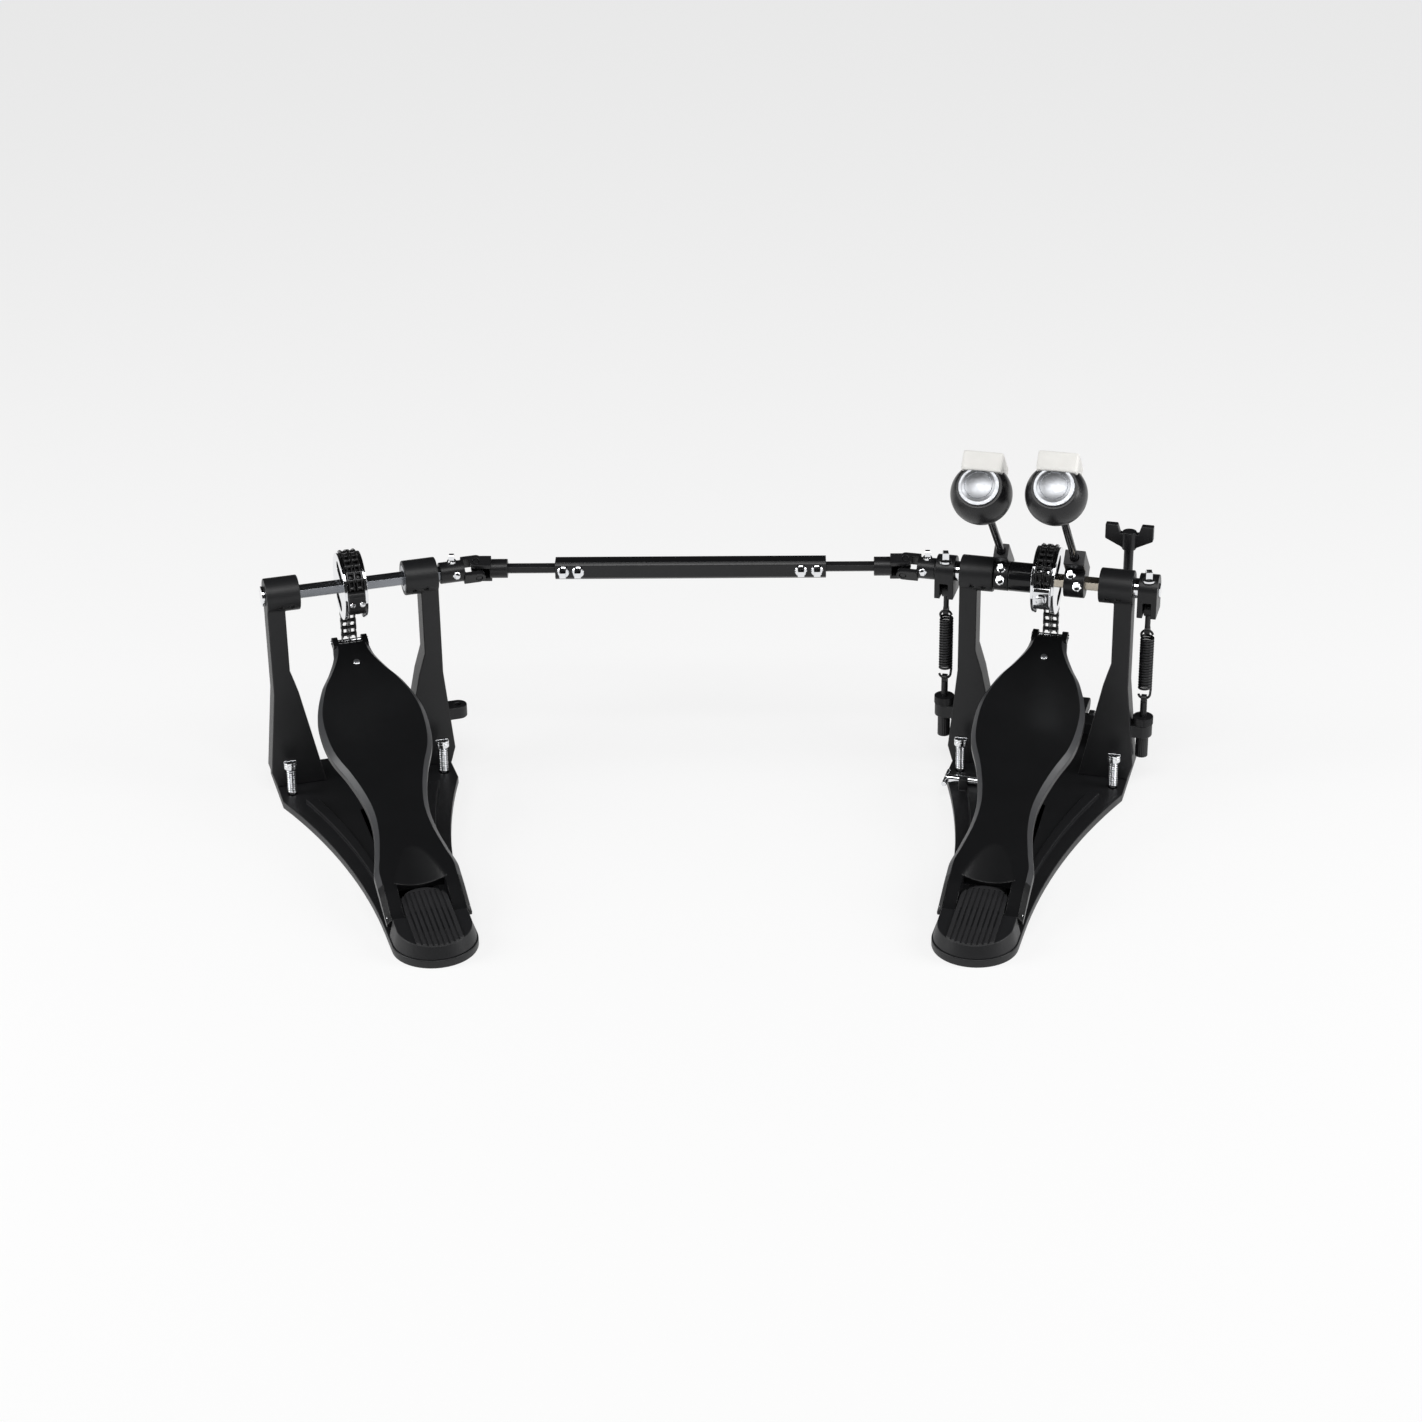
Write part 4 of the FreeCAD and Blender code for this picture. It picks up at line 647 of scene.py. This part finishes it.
def chainTree():
    tree, given = growTree("duplexChain", chainSizes)
    pitch, plate, strand = given["Pitch"], given["Plate"], given["Strand"]
    across = (0.0, math.pi / 2, 0.0)
    rim = step(tree, "GeometryNodeCurvePrimitiveQuadrilateral",
               {"Width": sum2(tree, pitch, given["Plate Height"]), "Height": given["Plate Height"]})
    corner = sum2(tree, given["Plate Height"], chainPlan["corner"], "MULTIPLY")
    rim = step(tree, "GeometryNodeFilletCurve", {"Curve": rim, "Radius": corner, "Count": 5}, {"mode": "POLY"})
    sheet = step(tree, "GeometryNodeFillCurve", {"Curve": rim}, {"mode": "NGONS"})
    raised = step(tree, "GeometryNodeExtrudeMesh", {"Mesh": sheet, "Offset Scale": plate, "Individual": False})
    slab = together(tree, raised, step(tree, "GeometryNodeFlipFaces", {"Mesh": sheet}))
    slab = shifted(tree, slab, spot3(tree, 0.0, 0.0, sum2(tree, plate, -0.5, "MULTIPLY")))
    slab = shifted(tree, slab, (0, 0, 0), (math.pi / 2, 0.0, math.pi / 2))  # flat side across the chain
    roller = step(tree, "GeometryNodeMeshCylinder",
                  {"Vertices": 18, "Radius": sum2(tree, given["Roller"], 0.5, "MULTIPLY"),
                   "Depth": given["Roller Width"]})
    roller = shifted(tree, roller, (0, 0, 0), across)
    inner = sum2(tree, sum2(tree, given["Roller Width"], plate), 0.5, "MULTIPLY")
    halfPitch = sum2(tree, pitch, 0.5, "MULTIPLY")
    rolled = []
    for side in (1.0, -1.0):
        row = sum2(tree, strand, side, "MULTIPLY")
        for way in (1.0, -1.0):
            rolled.append(shifted(tree, slab, spot3(tree, sum2(tree, row, sum2(tree, inner, way, "MULTIPLY")))))
            rolled.append(shifted(tree, roller, spot3(tree, row, sum2(tree, halfPitch, way, "MULTIPLY"))))
    outer = sum2(tree, sum2(tree, strand, inner), sum2(tree, plate, given["Fit"]))
    reach = sum2(tree, sum2(tree, outer, plate), 2.0, "MULTIPLY")
    pin = step(tree, "GeometryNodeMeshCylinder",
               {"Vertices": 14, "Radius": sum2(tree, given["Pin"], 0.5, "MULTIPLY"), "Depth": reach})
    pin = shifted(tree, pin, (0, 0, 0), across)
    pinned = [shifted(tree, slab, spot3(tree, sum2(tree, outer, way, "MULTIPLY"))) for way in (1.0, 0.0, -1.0)]
    pinned += [shifted(tree, pin, spot3(tree, 0.0, sum2(tree, halfPitch, way, "MULTIPLY"))) for way in (1.0, -1.0)]
    kind = step(tree, "GeometryNodeInputNamedAttribute", {"Name": "kind"}, {"data_type": "INT"})
    isPin = step(tree, "FunctionNodeCompare", {2: kind, 3: 1}, {"data_type": "INT", "operation": "EQUAL"})
    isRoll = step(tree, "FunctionNodeCompare", {2: kind, 3: 0}, {"data_type": "INT", "operation": "EQUAL"})
    turn = step(tree, "GeometryNodeInputNamedAttribute", {"Name": "turn"}, {"data_type": "FLOAT_VECTOR"})
    turn = step(tree, "FunctionNodeEulerToRotation", {0: turn})
    links = together(tree, onPoints(tree, given["Geometry"], together(tree, *rolled), turn, isRoll),
                     onPoints(tree, given["Geometry"], together(tree, *pinned), turn, isPin))
    return closeTree(tree, links, given, False)


duplexChain = chainTree()
linkAngle = 2 * math.asin(chainSizes["Pitch"] / (2 * chainPlan["radius"]))


def chainPiece(name, pedal, part, joints, first):
    frameHere = pedal @ onShaft
    points, turns, kinds = [], [], []
    for number, (start, end) in enumerate(zip(joints, joints[1:]), first):
        middle = frameHere @ ((start + end) / 2 * mm)
        along = end - start
        points.append(middle)
        turns.append((math.atan2(along.z, along.y), 0.0, frameHere.to_euler().z))
        kinds.append(number % 2)
    node = f"{name}_chain_{part}"
    sizes = {label: size * mm for label, size in chainSizes.items()}
    grown(node + "_dressed", duplexChain, sizes, "chainBlack", points, frame["nodes"][node]["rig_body"],
          {"turn": ("FLOAT_VECTOR", turns), "kind": ("INT", kinds)}, stands=[node])


def camSpot(number):
    angle = linkAngle * number
    return Vector((0, chainPlan["radius"] * math.cos(angle), chainPlan["radius"] * math.sin(angle)))


# Block that ends the chain on the cam, with its corners along the rim and out from the shaft, and its screws
anchorPlan = {"angle": 188.5, "half": 7.0, "level": 30.6, "edge": 0.8,
              "corners": [(-9.5, 21.0), (9.5, 21.0), (9.5, 28.5), (6.5, 30.6), (-6.5, 30.6), (-9.5, 28.5)],
              "screws": {"main": {"at": (0,), "size": 4.4}, "slave": {"at": (-4, 4), "size": 2.4}},
              "screw": {"Flange Height": 1.4, "Head Height": 1.2}, "sunk": 0.3}
for name, pedal in pedals.items():
    hanging = [Vector((0, chainPlan["radius"], -chainSizes["Pitch"] * number))
               for number in range(chainPlan["run"] + 1)]
    chainPiece(name, pedal, "run", hanging, 0)
    for number in range(1, chainPlan["onCam"] + 1):
        chainPiece(name, pedal, f"link_{number}", [camSpot(number - 1), camSpot(number)], number)
    first = chainPlan["onCam"] + 1
    chainPiece(name, pedal, "wrap", [camSpot(number) for number in range(first - 1, first + chainPlan["held"])], first)
    pin = chainPlan["toePin"]
    shape = bmesh.new()
    drum(shape, pin["thick"] / 2, (-pin["half"], pin["half"]), chainPlan["radius"],
         -chainSizes["Pitch"] * chainPlan["run"], pin["corners"])
    solidFrom(shape, f"{name}_toe_pin", "chrome", pedal @ onShaft, f"{name}_run", pin["edge"])
    shape = bmesh.new()
    skinOver(shape, [[Vector((x, along, up)) for along, up in anchorPlan["corners"]]
                     for x in (-anchorPlan["half"], anchorPlan["half"])])
    solidFrom(shape, f"{name}_anchor_block", camPlan["block"][name],
              pedal @ onShaft @ turned(anchorPlan["angle"] - 90, "X"), f"{name}_shaft_group", anchorPlan["edge"])
print("chains linked")


# Screws with a round flange and a square head, and threads and rings, all on points that face their way out
screwSizes = {"Flange": 4.6, "Flange Height": 1.6, "Head": 5.4, "Head Height": 7.0}
screwShares = {"rimTop": 0.86, "rimHeight": 0.35, "tipTop": 0.8, "tipHeight": 0.12, "threadRidge": 0.36}


def screwTree():
    tree, given = growTree("keyScrews", {label: size * mm for label, size in screwSizes.items()})
    low, high = given["Flange Height"], given["Head Height"]
    halfLow = sum2(tree, low, 0.5, "MULTIPLY")
    disc = step(tree, "GeometryNodeMeshCylinder", {"Vertices": 40, "Radius": given["Flange"], "Depth": low})
    disc = shifted(tree, disc, spot3(tree, z=halfLow))
    rim = step(tree, "GeometryNodeMeshCone",
               {"Vertices": 40, "Radius Top": sum2(tree, given["Flange"], screwShares["rimTop"], "MULTIPLY"),
                "Radius Bottom": given["Flange"], "Depth": sum2(tree, low, screwShares["rimHeight"], "MULTIPLY")})
    rim = shifted(tree, rim, spot3(tree, z=low))
    wide = sum2(tree, given["Head"], math.sqrt(0.5), "MULTIPLY")
    square = step(tree, "GeometryNodeMeshCylinder", {"Vertices": 4, "Radius": wide, "Depth": high})
    square = shifted(tree, square, spot3(tree, z=sum2(tree, low, sum2(tree, high, 0.5, "MULTIPLY"))),
                     (0.0, 0.0, math.pi / 4))
    tip = step(tree, "GeometryNodeMeshCone",
               {"Vertices": 4, "Radius Top": sum2(tree, wide, screwShares["tipTop"], "MULTIPLY"),
                "Radius Bottom": wide, "Depth": sum2(tree, high, screwShares["tipHeight"], "MULTIPLY")})
    tip = shifted(tree, tip, spot3(tree, z=sum2(tree, low, high)), (0.0, 0.0, math.pi / 4))
    screw = together(tree, disc, rim, square, tip)
    return closeTree(tree, onPoints(tree, given["Geometry"], screw, aimed(tree)), given, False)


def threadTree():
    tree, given = growTree("threads", {"Radius": 3.8 * mm, "Length": 20 * mm, "Pitch": 1.3 * mm})
    turns = sum2(tree, given["Length"], given["Pitch"], "DIVIDE")
    path = step(tree, "GeometryNodeCurveSpiral",
                {"Resolution": 22, "Rotations": turns, "Start Radius": given["Radius"],
                 "End Radius": given["Radius"], "Height": given["Length"]})
    ridge = step(tree, "GeometryNodeCurvePrimitiveCircle",
                 {"Resolution": 5, "Radius": sum2(tree, given["Pitch"], screwShares["threadRidge"], "MULTIPLY")})
    thread = step(tree, "GeometryNodeCurveToMesh", {"Curve": path, "Profile Curve": ridge, "Fill Caps": True})
    return closeTree(tree, onPoints(tree, given["Geometry"], thread, aimed(tree)), given, True)


def ringTree():
    tree, given = growTree("rings", {"Radius": 11 * mm, "Wire": 0.4 * mm})
    path = step(tree, "GeometryNodeCurvePrimitiveCircle", {"Resolution": 64, "Radius": given["Radius"]})
    wire = step(tree, "GeometryNodeCurvePrimitiveCircle", {"Resolution": 8, "Radius": given["Wire"]})
    ring = step(tree, "GeometryNodeCurveToMesh", {"Curve": path, "Profile Curve": wire})
    return closeTree(tree, onPoints(tree, given["Geometry"], ring, aimed(tree)), given, True)


def wheelTree():
    tree, given = growTree("gripWheels", {"Radius": 8.4 * mm, "Height": 6.5 * mm, "Ridges": 40, "Ridge": 0.3 * mm})
    count = sum2(tree, given["Ridges"], 2.0, "MULTIPLY")
    disc = step(tree, "GeometryNodeMeshCircle", {"Vertices": count, "Radius": given["Radius"]},
                {"fill_type": "NGON"})
    index = step(tree, "GeometryNodeInputIndex", {})
    odd = sum2(tree, index, 2.0, "MODULO")
    share = sum2(tree, given["Ridge"], given["Radius"], "DIVIDE")
    spot = step(tree, "GeometryNodeInputPosition", {})
    inward = sum2(tree, sum2(tree, odd, share, "MULTIPLY"), -1.0, "MULTIPLY")
    pull = step(tree, "ShaderNodeVectorMath", {0: spot, "Scale": inward}, {"operation": "SCALE"})
    disc = step(tree, "GeometryNodeSetPosition", {"Geometry": disc, "Offset": pull})
    raised = step(tree, "GeometryNodeExtrudeMesh", {"Mesh": disc, "Offset Scale": given["Height"]})
    wheel = together(tree, raised, step(tree, "GeometryNodeFlipFaces", {"Mesh": disc}))
    return closeTree(tree, onPoints(tree, given["Geometry"], wheel, aimed(tree)), given, False)


keyScrews, threads, rings, gripWheels = screwTree(), threadTree(), ringTree(), wheelTree()


def onAims(name, tree, sizes, look, places, body, stands=()):
    points = [place for place, way in places]
    ways = [way for place, way in places]
    sizes = {label: size if isinstance(size, int) else size * mm for label, size in sizes.items()}
    grown(name, tree, sizes, look, points, body, {"aim": ("FLOAT_VECTOR", ways)}, stands=stands)


# Clamp screws, each set on the surface that it clamps
towards = (0, -1, 0)
upright = (0, 0, 1)
linkAt = Vector((-474.44, 29.03, layout["shaftHeight"]))
tubeScrews = (72.7, 85.2, 284.5, 271.1)  # along the link from its left joint
inHolder = {"left": -37.4, "right": 23.4}
clampScrews = {
    "right_beater_holder": {"frame": leaning, "out": upright, "at": [(20.4, 1.5, 0), (26.4, -7.5, 0)]},
    "left_beater_holder": {"frame": leaning, "out": upright, "at": [(-37.4, 1.5, 0), (-37.4, -8.0, 0)]},
    **{f"{side}_spring_rocker": {"frame": mainPedal, "out": upright, "sunk": 1.0, "at": [(x, -6.5, 190)]}
       for side, x in layout["springs"].items()},
    "left_joint_hub": {"frame": slavePedal, "out": upright, "at": [(86, 0, 190)]},
    "right_joint_hub": {"frame": mainPedal, "out": upright, "at": [(-101, 0, 190)]},
    "link_tube": {"frame": Matrix.Identity(4), "out": towards,
                  "at": [tuple(linkAt + Vector((x, 0, 0))) for x in tubeScrews]},
}
clampSizes = {
    "link_tube": {"Flange": 5.0, "Head Height": 6.4}, "spring_rocker": {"Flange": 5.6},
    "beater_holder": {"Flange": 3.8, "Head": 4.4, "Head Height": 4.6},
    "joint_hub": {"Flange": 4.0, "Head": 4.6, "Head Height": 5.0},
}
clampSunk = 0.4
for node, plan in clampScrews.items():
    places = [seat(node, plan["frame"], spot, plan["out"]) for spot in plan["at"]]
    places = [(place - way * plan.get("sunk", clampSunk) * mm, way) for place, way in places]
    sizes = {**screwSizes, **clampSizes[node.removeprefix("left_").removeprefix("right_")]}
    onAims(f"{node}_screws", keyScrews, sizes, "chrome", places, frame["nodes"][node]["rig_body"])

# Small screws: on the front of the joint hubs, on the anchor blocks and at the boards' toes
hubScrew = {"Flange": 3.2, "Flange Height": 1.0, "Head": 3.4, "Head Height": 2.4}
toeScrew = {"Flange": 2.6, "Flange Height": 0.9, "Head": 2.6, "Head Height": 0.5}
toeRim = {"Radius": 2.4, "Wire": 0.9}
toeSunk = 0.1
for node, pedal, x in (("left_joint_hub", slavePedal, 88), ("right_joint_hub", mainPedal, -103)):
    place, way = seat(node, pedal, (x, 0, layout["shaftHeight"]), towards)
    onAims(f"{node}_front_screw", keyScrews, hubScrew, "chrome", [(place - way * clampSunk * mm, way)],
           frame["nodes"][node]["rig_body"])
angle = math.radians(anchorPlan["angle"])
outward = Vector((0, math.cos(angle), math.sin(angle)))
for name, pedal in pedals.items():
    onRim = pedal @ onShaft
    plan = anchorPlan["screws"][name]
    way = onRim.to_3x3() @ outward
    places = [onRim @ ((Vector((x, 0, 0)) + outward * anchorPlan["level"]) * mm) for x in plan["at"]]
    onAims(f"{name}_anchor_screw", keyScrews, {**anchorPlan["screw"], "Flange": plan["size"], "Head": plan["size"]},
           "chrome", [(place - way * anchorPlan["sunk"] * mm, way) for place in places], f"{name}_shaft_group")
    sloped = onBoard(pedal)
    spot = sloped @ (Vector((0, boardPlan["screwAt"], boardPlan["top"] - toeSunk)) * mm)
    way = sloped.to_3x3() @ Vector(upright)
    onAims(f"{name}_toe_screw", keyScrews, toeScrew, "capChrome", [(spot, way)], f"{name}_board")
    onAims(f"{name}_toe_screw_rim", rings, toeRim, "chrome", [(spot, way)], f"{name}_board")
print("screws set")


# Spurs: a pointed shank and a round head with a slot, as radii and levels
spurPlan = {"at": [(65, -25), (-65, -25)], "shank": [(0.4, 0.2), (2.8, 4.0), (2.8, 31.6)],
            "head": [(5.4, 31.5), (5.4, 35.2)], "lug": (5.4, 35.2, 37.6), "slot": 0.9, "edge": 0.35,
            "corners": 36, "lugCorners": 18}


def arcAt(radius, angles, x, y, level):
    return [Vector((x + radius * math.cos(angle), y + radius * math.sin(angle), level)) for angle in angles]


rounds = roundAngles(spurPlan["corners"])
for name, pedal in pedals.items():
    shape = bmesh.new()
    for x, y in spurPlan["at"]:
        for profile in (spurPlan["shank"], spurPlan["head"]):
            skinOver(shape, [arcAt(radius, rounds, x, y, level) for radius, level in profile])
        radius, low, high = spurPlan["lug"]
        start = math.asin(spurPlan["slot"] / radius)
        for side in (0, math.pi):
            arc = spread(side + start, side + math.pi - start, spurPlan["lugCorners"])
            skinOver(shape, [arcAt(radius, arc, x, y, level) for level in (low, high)])
    solidFrom(shape, f"{name}_spurs", "chrome", pedal, "frame", spurPlan["edge"],
              ["spurs"] if name == "main" else [])


# Threads on the spurs, the tension rods and the wing bolt
threadPlan = {
    "spur_threads": {"at": [(pedal, x, y, 9.5) for pedal in pedals.values() for x, y in spurPlan["at"]],
                     "body": "frame", "look": "chrome", "size": {"Radius": 3.2, "Length": 22.0, "Pitch": 2.1}},
    "tension_threads": {"at": [(mainPedal, x, 0, 64.5) for x in layout["springs"].values()], "body": "frame",
                        "look": "satinBlack", "size": {"Radius": 2.55, "Length": 10.0, "Pitch": 1.0}},
    "wing_bolt_thread": {"at": [(mainPedal, 60, 47, 34)], "body": "bolt", "look": "satinBlack",
                         "size": {"Radius": 3.75, "Length": 70.0, "Pitch": 1.25}},
}
for name, plan in threadPlan.items():
    places = [(pedal @ (Vector((x, y, z)) * mm), Vector(upright)) for pedal, x, y, z in plan["at"]]
    onAims(name, threads, plan["size"], plan["look"], places, plan["body"])

# Lock wheels and nuts under the springs, with fine grip ridges
nutPlan = {"wheel": {"Radius": 8.5, "Height": 6.5, "Ridges": 44, "Ridge": 0.35},
           "nut": {"Radius": 5.3, "Height": 18.6, "Ridges": 20, "Ridge": 0.22}, "at": {"wheel": 57.2, "nut": 27.0}}
for side, x in layout["springs"].items():
    for part, z in nutPlan["at"].items():
        place = mainPedal @ (Vector((x, 0, z)) * mm)
        onAims(f"{side}_tension_{part}", gripWheels, nutPlan[part], "satinBlack", [(place, Vector(upright))],
               f"{side}_nuts", [f"{side}_tension_nuts"] if part == "wheel" else [])
print("threads and wheels cut")


# Springs: one wire, hook to hook
springPlan = {"radius": 4.9, "wire": 2.1, "low": 79.99, "high": 143.0, "turns": 19.5, "riser": 1.3, "hookPoints": 18,
              "hookSweep": 165, "turnPoints": 26, "held": 6}


def springTree():
    tree, given = growTree("springWire", {"Wire": springPlan["wire"] * mm})
    path = step(tree, "GeometryNodeMeshToCurve", {"Mesh": given["Geometry"]})
    section = step(tree, "GeometryNodeCurvePrimitiveCircle",
                   {"Resolution": 10, "Radius": sum2(tree, given["Wire"], 0.5, "MULTIPLY")})
    wire = step(tree, "GeometryNodeCurveToMesh", {"Curve": path, "Profile Curve": section, "Fill Caps": True})
    return closeTree(tree, wire, given, True)


def springPath(plan):
    radius, riser = plan["radius"], plan["riser"] * plan["wire"]
    low, high = plan["low"] + radius, plan["high"] - radius
    path = []
    hook, sweep = plan["hookPoints"], plan["hookSweep"]
    for number in range(hook):  # lower hook, from its open end round to the side
        angle = math.radians(-sweep + sweep * number / hook)
        path.append(Vector((radius * math.cos(angle), 0, low + radius * math.sin(angle))))
    coilLow, coilHigh = low + riser, high - riser
    count = int(plan["turns"] * plan["turnPoints"])
    for number in range(count + 1):
        angle = 2 * math.pi * plan["turns"] * number / count
        climb = coilLow + (coilHigh - coilLow) * number / count
        path.append(Vector((radius * math.cos(angle), riser + radius * math.sin(angle), climb)))
    for number in range(1, hook + 1):
        angle = math.radians(180 - sweep * number / hook)
        path.append(Vector((radius * math.cos(angle), 0, high + radius * math.sin(angle))))
    return path


springWire = springTree()
for side, x in layout["springs"].items():
    local = mainPedal @ moved(x, 0, 0)
    points = [local @ (spot * mm) for spot in springPath(springPlan)]
    edges = [(number, number + 1) for number in range(len(points) - 1)]
    spring = grown(f"{side}_spring_wound", springWire, {"Wire": springPlan["wire"] * mm}, "satinBlack", points, None,
                   edges=edges)
    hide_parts(f"{side}_spring")
    ends = (springPlan["low"] + springPlan["held"], springPlan["high"] - springPlan["held"])
    start, end = (local @ (Vector((0, 0, level)) * mm) for level in ends)
    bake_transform(spring)
print("springs wound")


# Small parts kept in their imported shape, with a finish and softened edges
plainParts = {
    "bearings": ("darkSteel", 0.3), "hinge_pins": ("chrome", 0.3),
    "spring_eye_rods": ("satinBlack", 0.3), "link_rods": ("satinBlack", 0.4), "link_tube": ("glossBlack", 0.3),
    "left_cross": ("satinBlack", 0.3), "right_cross": ("satinBlack", 0.3), "left_joint_hub": ("satinBlack", 0.5),
    "right_joint_hub": ("satinBlack", 0.5), "clamp_jaw": ("castBlack", 0.8), "wing_bolt": ("satinBlack", 0.8),
    "drum_key": ("chrome", 0.4),
}
for node, (look, edge) in plainParts.items():
    softened(node, look, edge)
shaftPlan = {"collars": 72.1, "endCap": -72.2}
collars = lambda spot, out: abs(spot.x) > shaftPlan["collars"]
softened("main_shaft", "warmSteel", 0.3, [(collars, "chrome")])
softened("aux_shaft", "glossBlack", 0.5, [(collars, "chrome")])
endCap = lambda spot, out: spot.x < shaftPlan["endCap"]
softened("slave_shaft", "darkSteel", 0.3, [(endCap, "chrome")], slavePedal)
for side in ("left", "right"):
    softened(f"{side}_beater_rod", "glossBlack", 0.4)
    softened(f"{side}_hanger", "satinBlack", 0.3)
    softened(f"{side}_spring_rocker", "satinBlack", 0.6)
    softened(f"{side}_beater_holder", "satinBlack", 0.6)
print("small parts dressed")


# Beater heads: black ball with a bright cap, a turned line on the cap, and a block of pressed felt
beaterPlan = {"seat": 16.5, "reach": {"right": 174.0, "left": 160.0}, "offset": 12.5, "capLine": 10.8, "dome": 35.2,
              "rise": 5.0, "feltHalf": 16.0, "feltDepth": (12.5, 29.0), "feltHeight": (-15.0, 19.0), "feltRound": 2.4,
              "fibres": 900, "fibre": 1.1, "thick": (0.06, 0.02), "tilt": 1.2, "seed": {"right": 8, "left": 3},
              "lineWire": 0.3}


def fibreTree():
    tree, given = growTree("feltFibres", {"Count": 1000, "Length": 1.1 * mm, "Seed": 4})
    scatter = tree.nodes.new("GeometryNodeDistributePointsOnFaces")
    tree.links.new(given["Geometry"], scatter.inputs["Mesh"])
    area = tree.nodes.new("GeometryNodeAttributeStatistic")
    area.domain = "FACE"
    tree.links.new(given["Geometry"], area.inputs["Geometry"])
    tree.links.new(step(tree, "GeometryNodeInputMeshFaceArea", {}), area.inputs["Attribute"])
    tree.links.new(sum2(tree, given["Count"], area.outputs["Sum"], "DIVIDE"), scatter.inputs["Density"])
    tree.links.new(given["Seed"], scatter.inputs["Seed"])
    root, end = beaterPlan["thick"]
    fibre = step(tree, "GeometryNodeMeshCone",
                 {"Vertices": 3, "Radius Bottom": root * mm, "Radius Top": end * mm, "Depth": given["Length"]})
    tilt = step(tree, "FunctionNodeRandomValue",
                {0: (-beaterPlan["tilt"],) * 3, 1: (beaterPlan["tilt"],) * 3, "Seed": given["Seed"]},
                {"data_type": "FLOAT_VECTOR"})
    hairs = onPoints(tree, scatter.outputs["Points"], fibre, scatter.outputs["Rotation"])
    hairs = step(tree, "GeometryNodeRotateInstances", {"Instances": hairs, "Rotation": tilt})
    return closeTree(tree, together(tree, given["Geometry"], hairs), given, True)


feltFibres = fibreTree()


def feltBlock(side):
    middle, reach = inHolder[side], beaterPlan["reach"][side]
    low = Vector((middle - beaterPlan["feltHalf"], beaterPlan["offset"] + beaterPlan["feltDepth"][0],
                  reach + beaterPlan["feltHeight"][0]))
    high = Vector((middle + beaterPlan["feltHalf"], beaterPlan["offset"] + beaterPlan["feltDepth"][1],
                   reach + beaterPlan["feltHeight"][1]))
    shape = bmesh.new()
    bmesh.ops.create_cube(shape, size=1.0)
    for vertex in shape.verts:
        share = vertex.co + Vector((0.5, 0.5, 0.5))
        vertex.co = Vector([low[axis] + (high[axis] - low[axis]) * share[axis] for axis in range(3)]) * mm
    bmesh.ops.bevel(shape, geom=list(shape.edges), offset=beaterPlan["feltRound"] * mm, segments=4, profile=0.6,
                    affect="EDGES")
    bmesh.ops.subdivide_edges(shape, edges=[e for e in shape.edges if e.calc_length() > 4 * mm], cuts=7,
                              use_grid_fill=True)
    shape.transform(leaning)
    bmesh.ops.recalc_face_normals(shape, faces=shape.faces)
    mesh = bpy.data.meshes.new(f"{side}_felt")
    shape.to_mesh(mesh)
    shape.free()
    piece = bpy.data.objects.new(f"{side}_felt", mesh)
    scene.collection.objects.link(piece)
    sizes = {"Count": beaterPlan["fibres"], "Length": beaterPlan["fibre"] * mm, "Seed": beaterPlan["seed"][side]}
    runTree(piece, feltFibres, sizes, "feltWhite")
    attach(piece, f"{side}_beater")
    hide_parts(f"{side}_beater_felt")


for side in ("right", "left"):
    middle, reach = inHolder[side], beaterPlan["reach"][side]
    seatLevel = reach + beaterPlan["seat"]
    lid = lambda spot, out: spot.z > seatLevel + 0.05
    softened(f"{side}_beater_head", "ballBlack", 0.35, [(lid, "capChrome")], leaning)
    level = seatLevel + beaterPlan["rise"] - beaterPlan["dome"]
    level += math.sqrt(beaterPlan["dome"] ** 2 - beaterPlan["capLine"] ** 2)
    spot = leaning @ (Vector((middle, beaterPlan["offset"], level)) * mm)
    way = leaning.to_3x3() @ Vector(upright)
    onAims(f"{side}_cap_line", rings, {"Radius": beaterPlan["capLine"], "Wire": beaterPlan["lineWire"]}, "darkSteel",
           [(spot, way)], f"{side}_beater")
    feltBlock(side)
print("beaters made")

low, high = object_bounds()
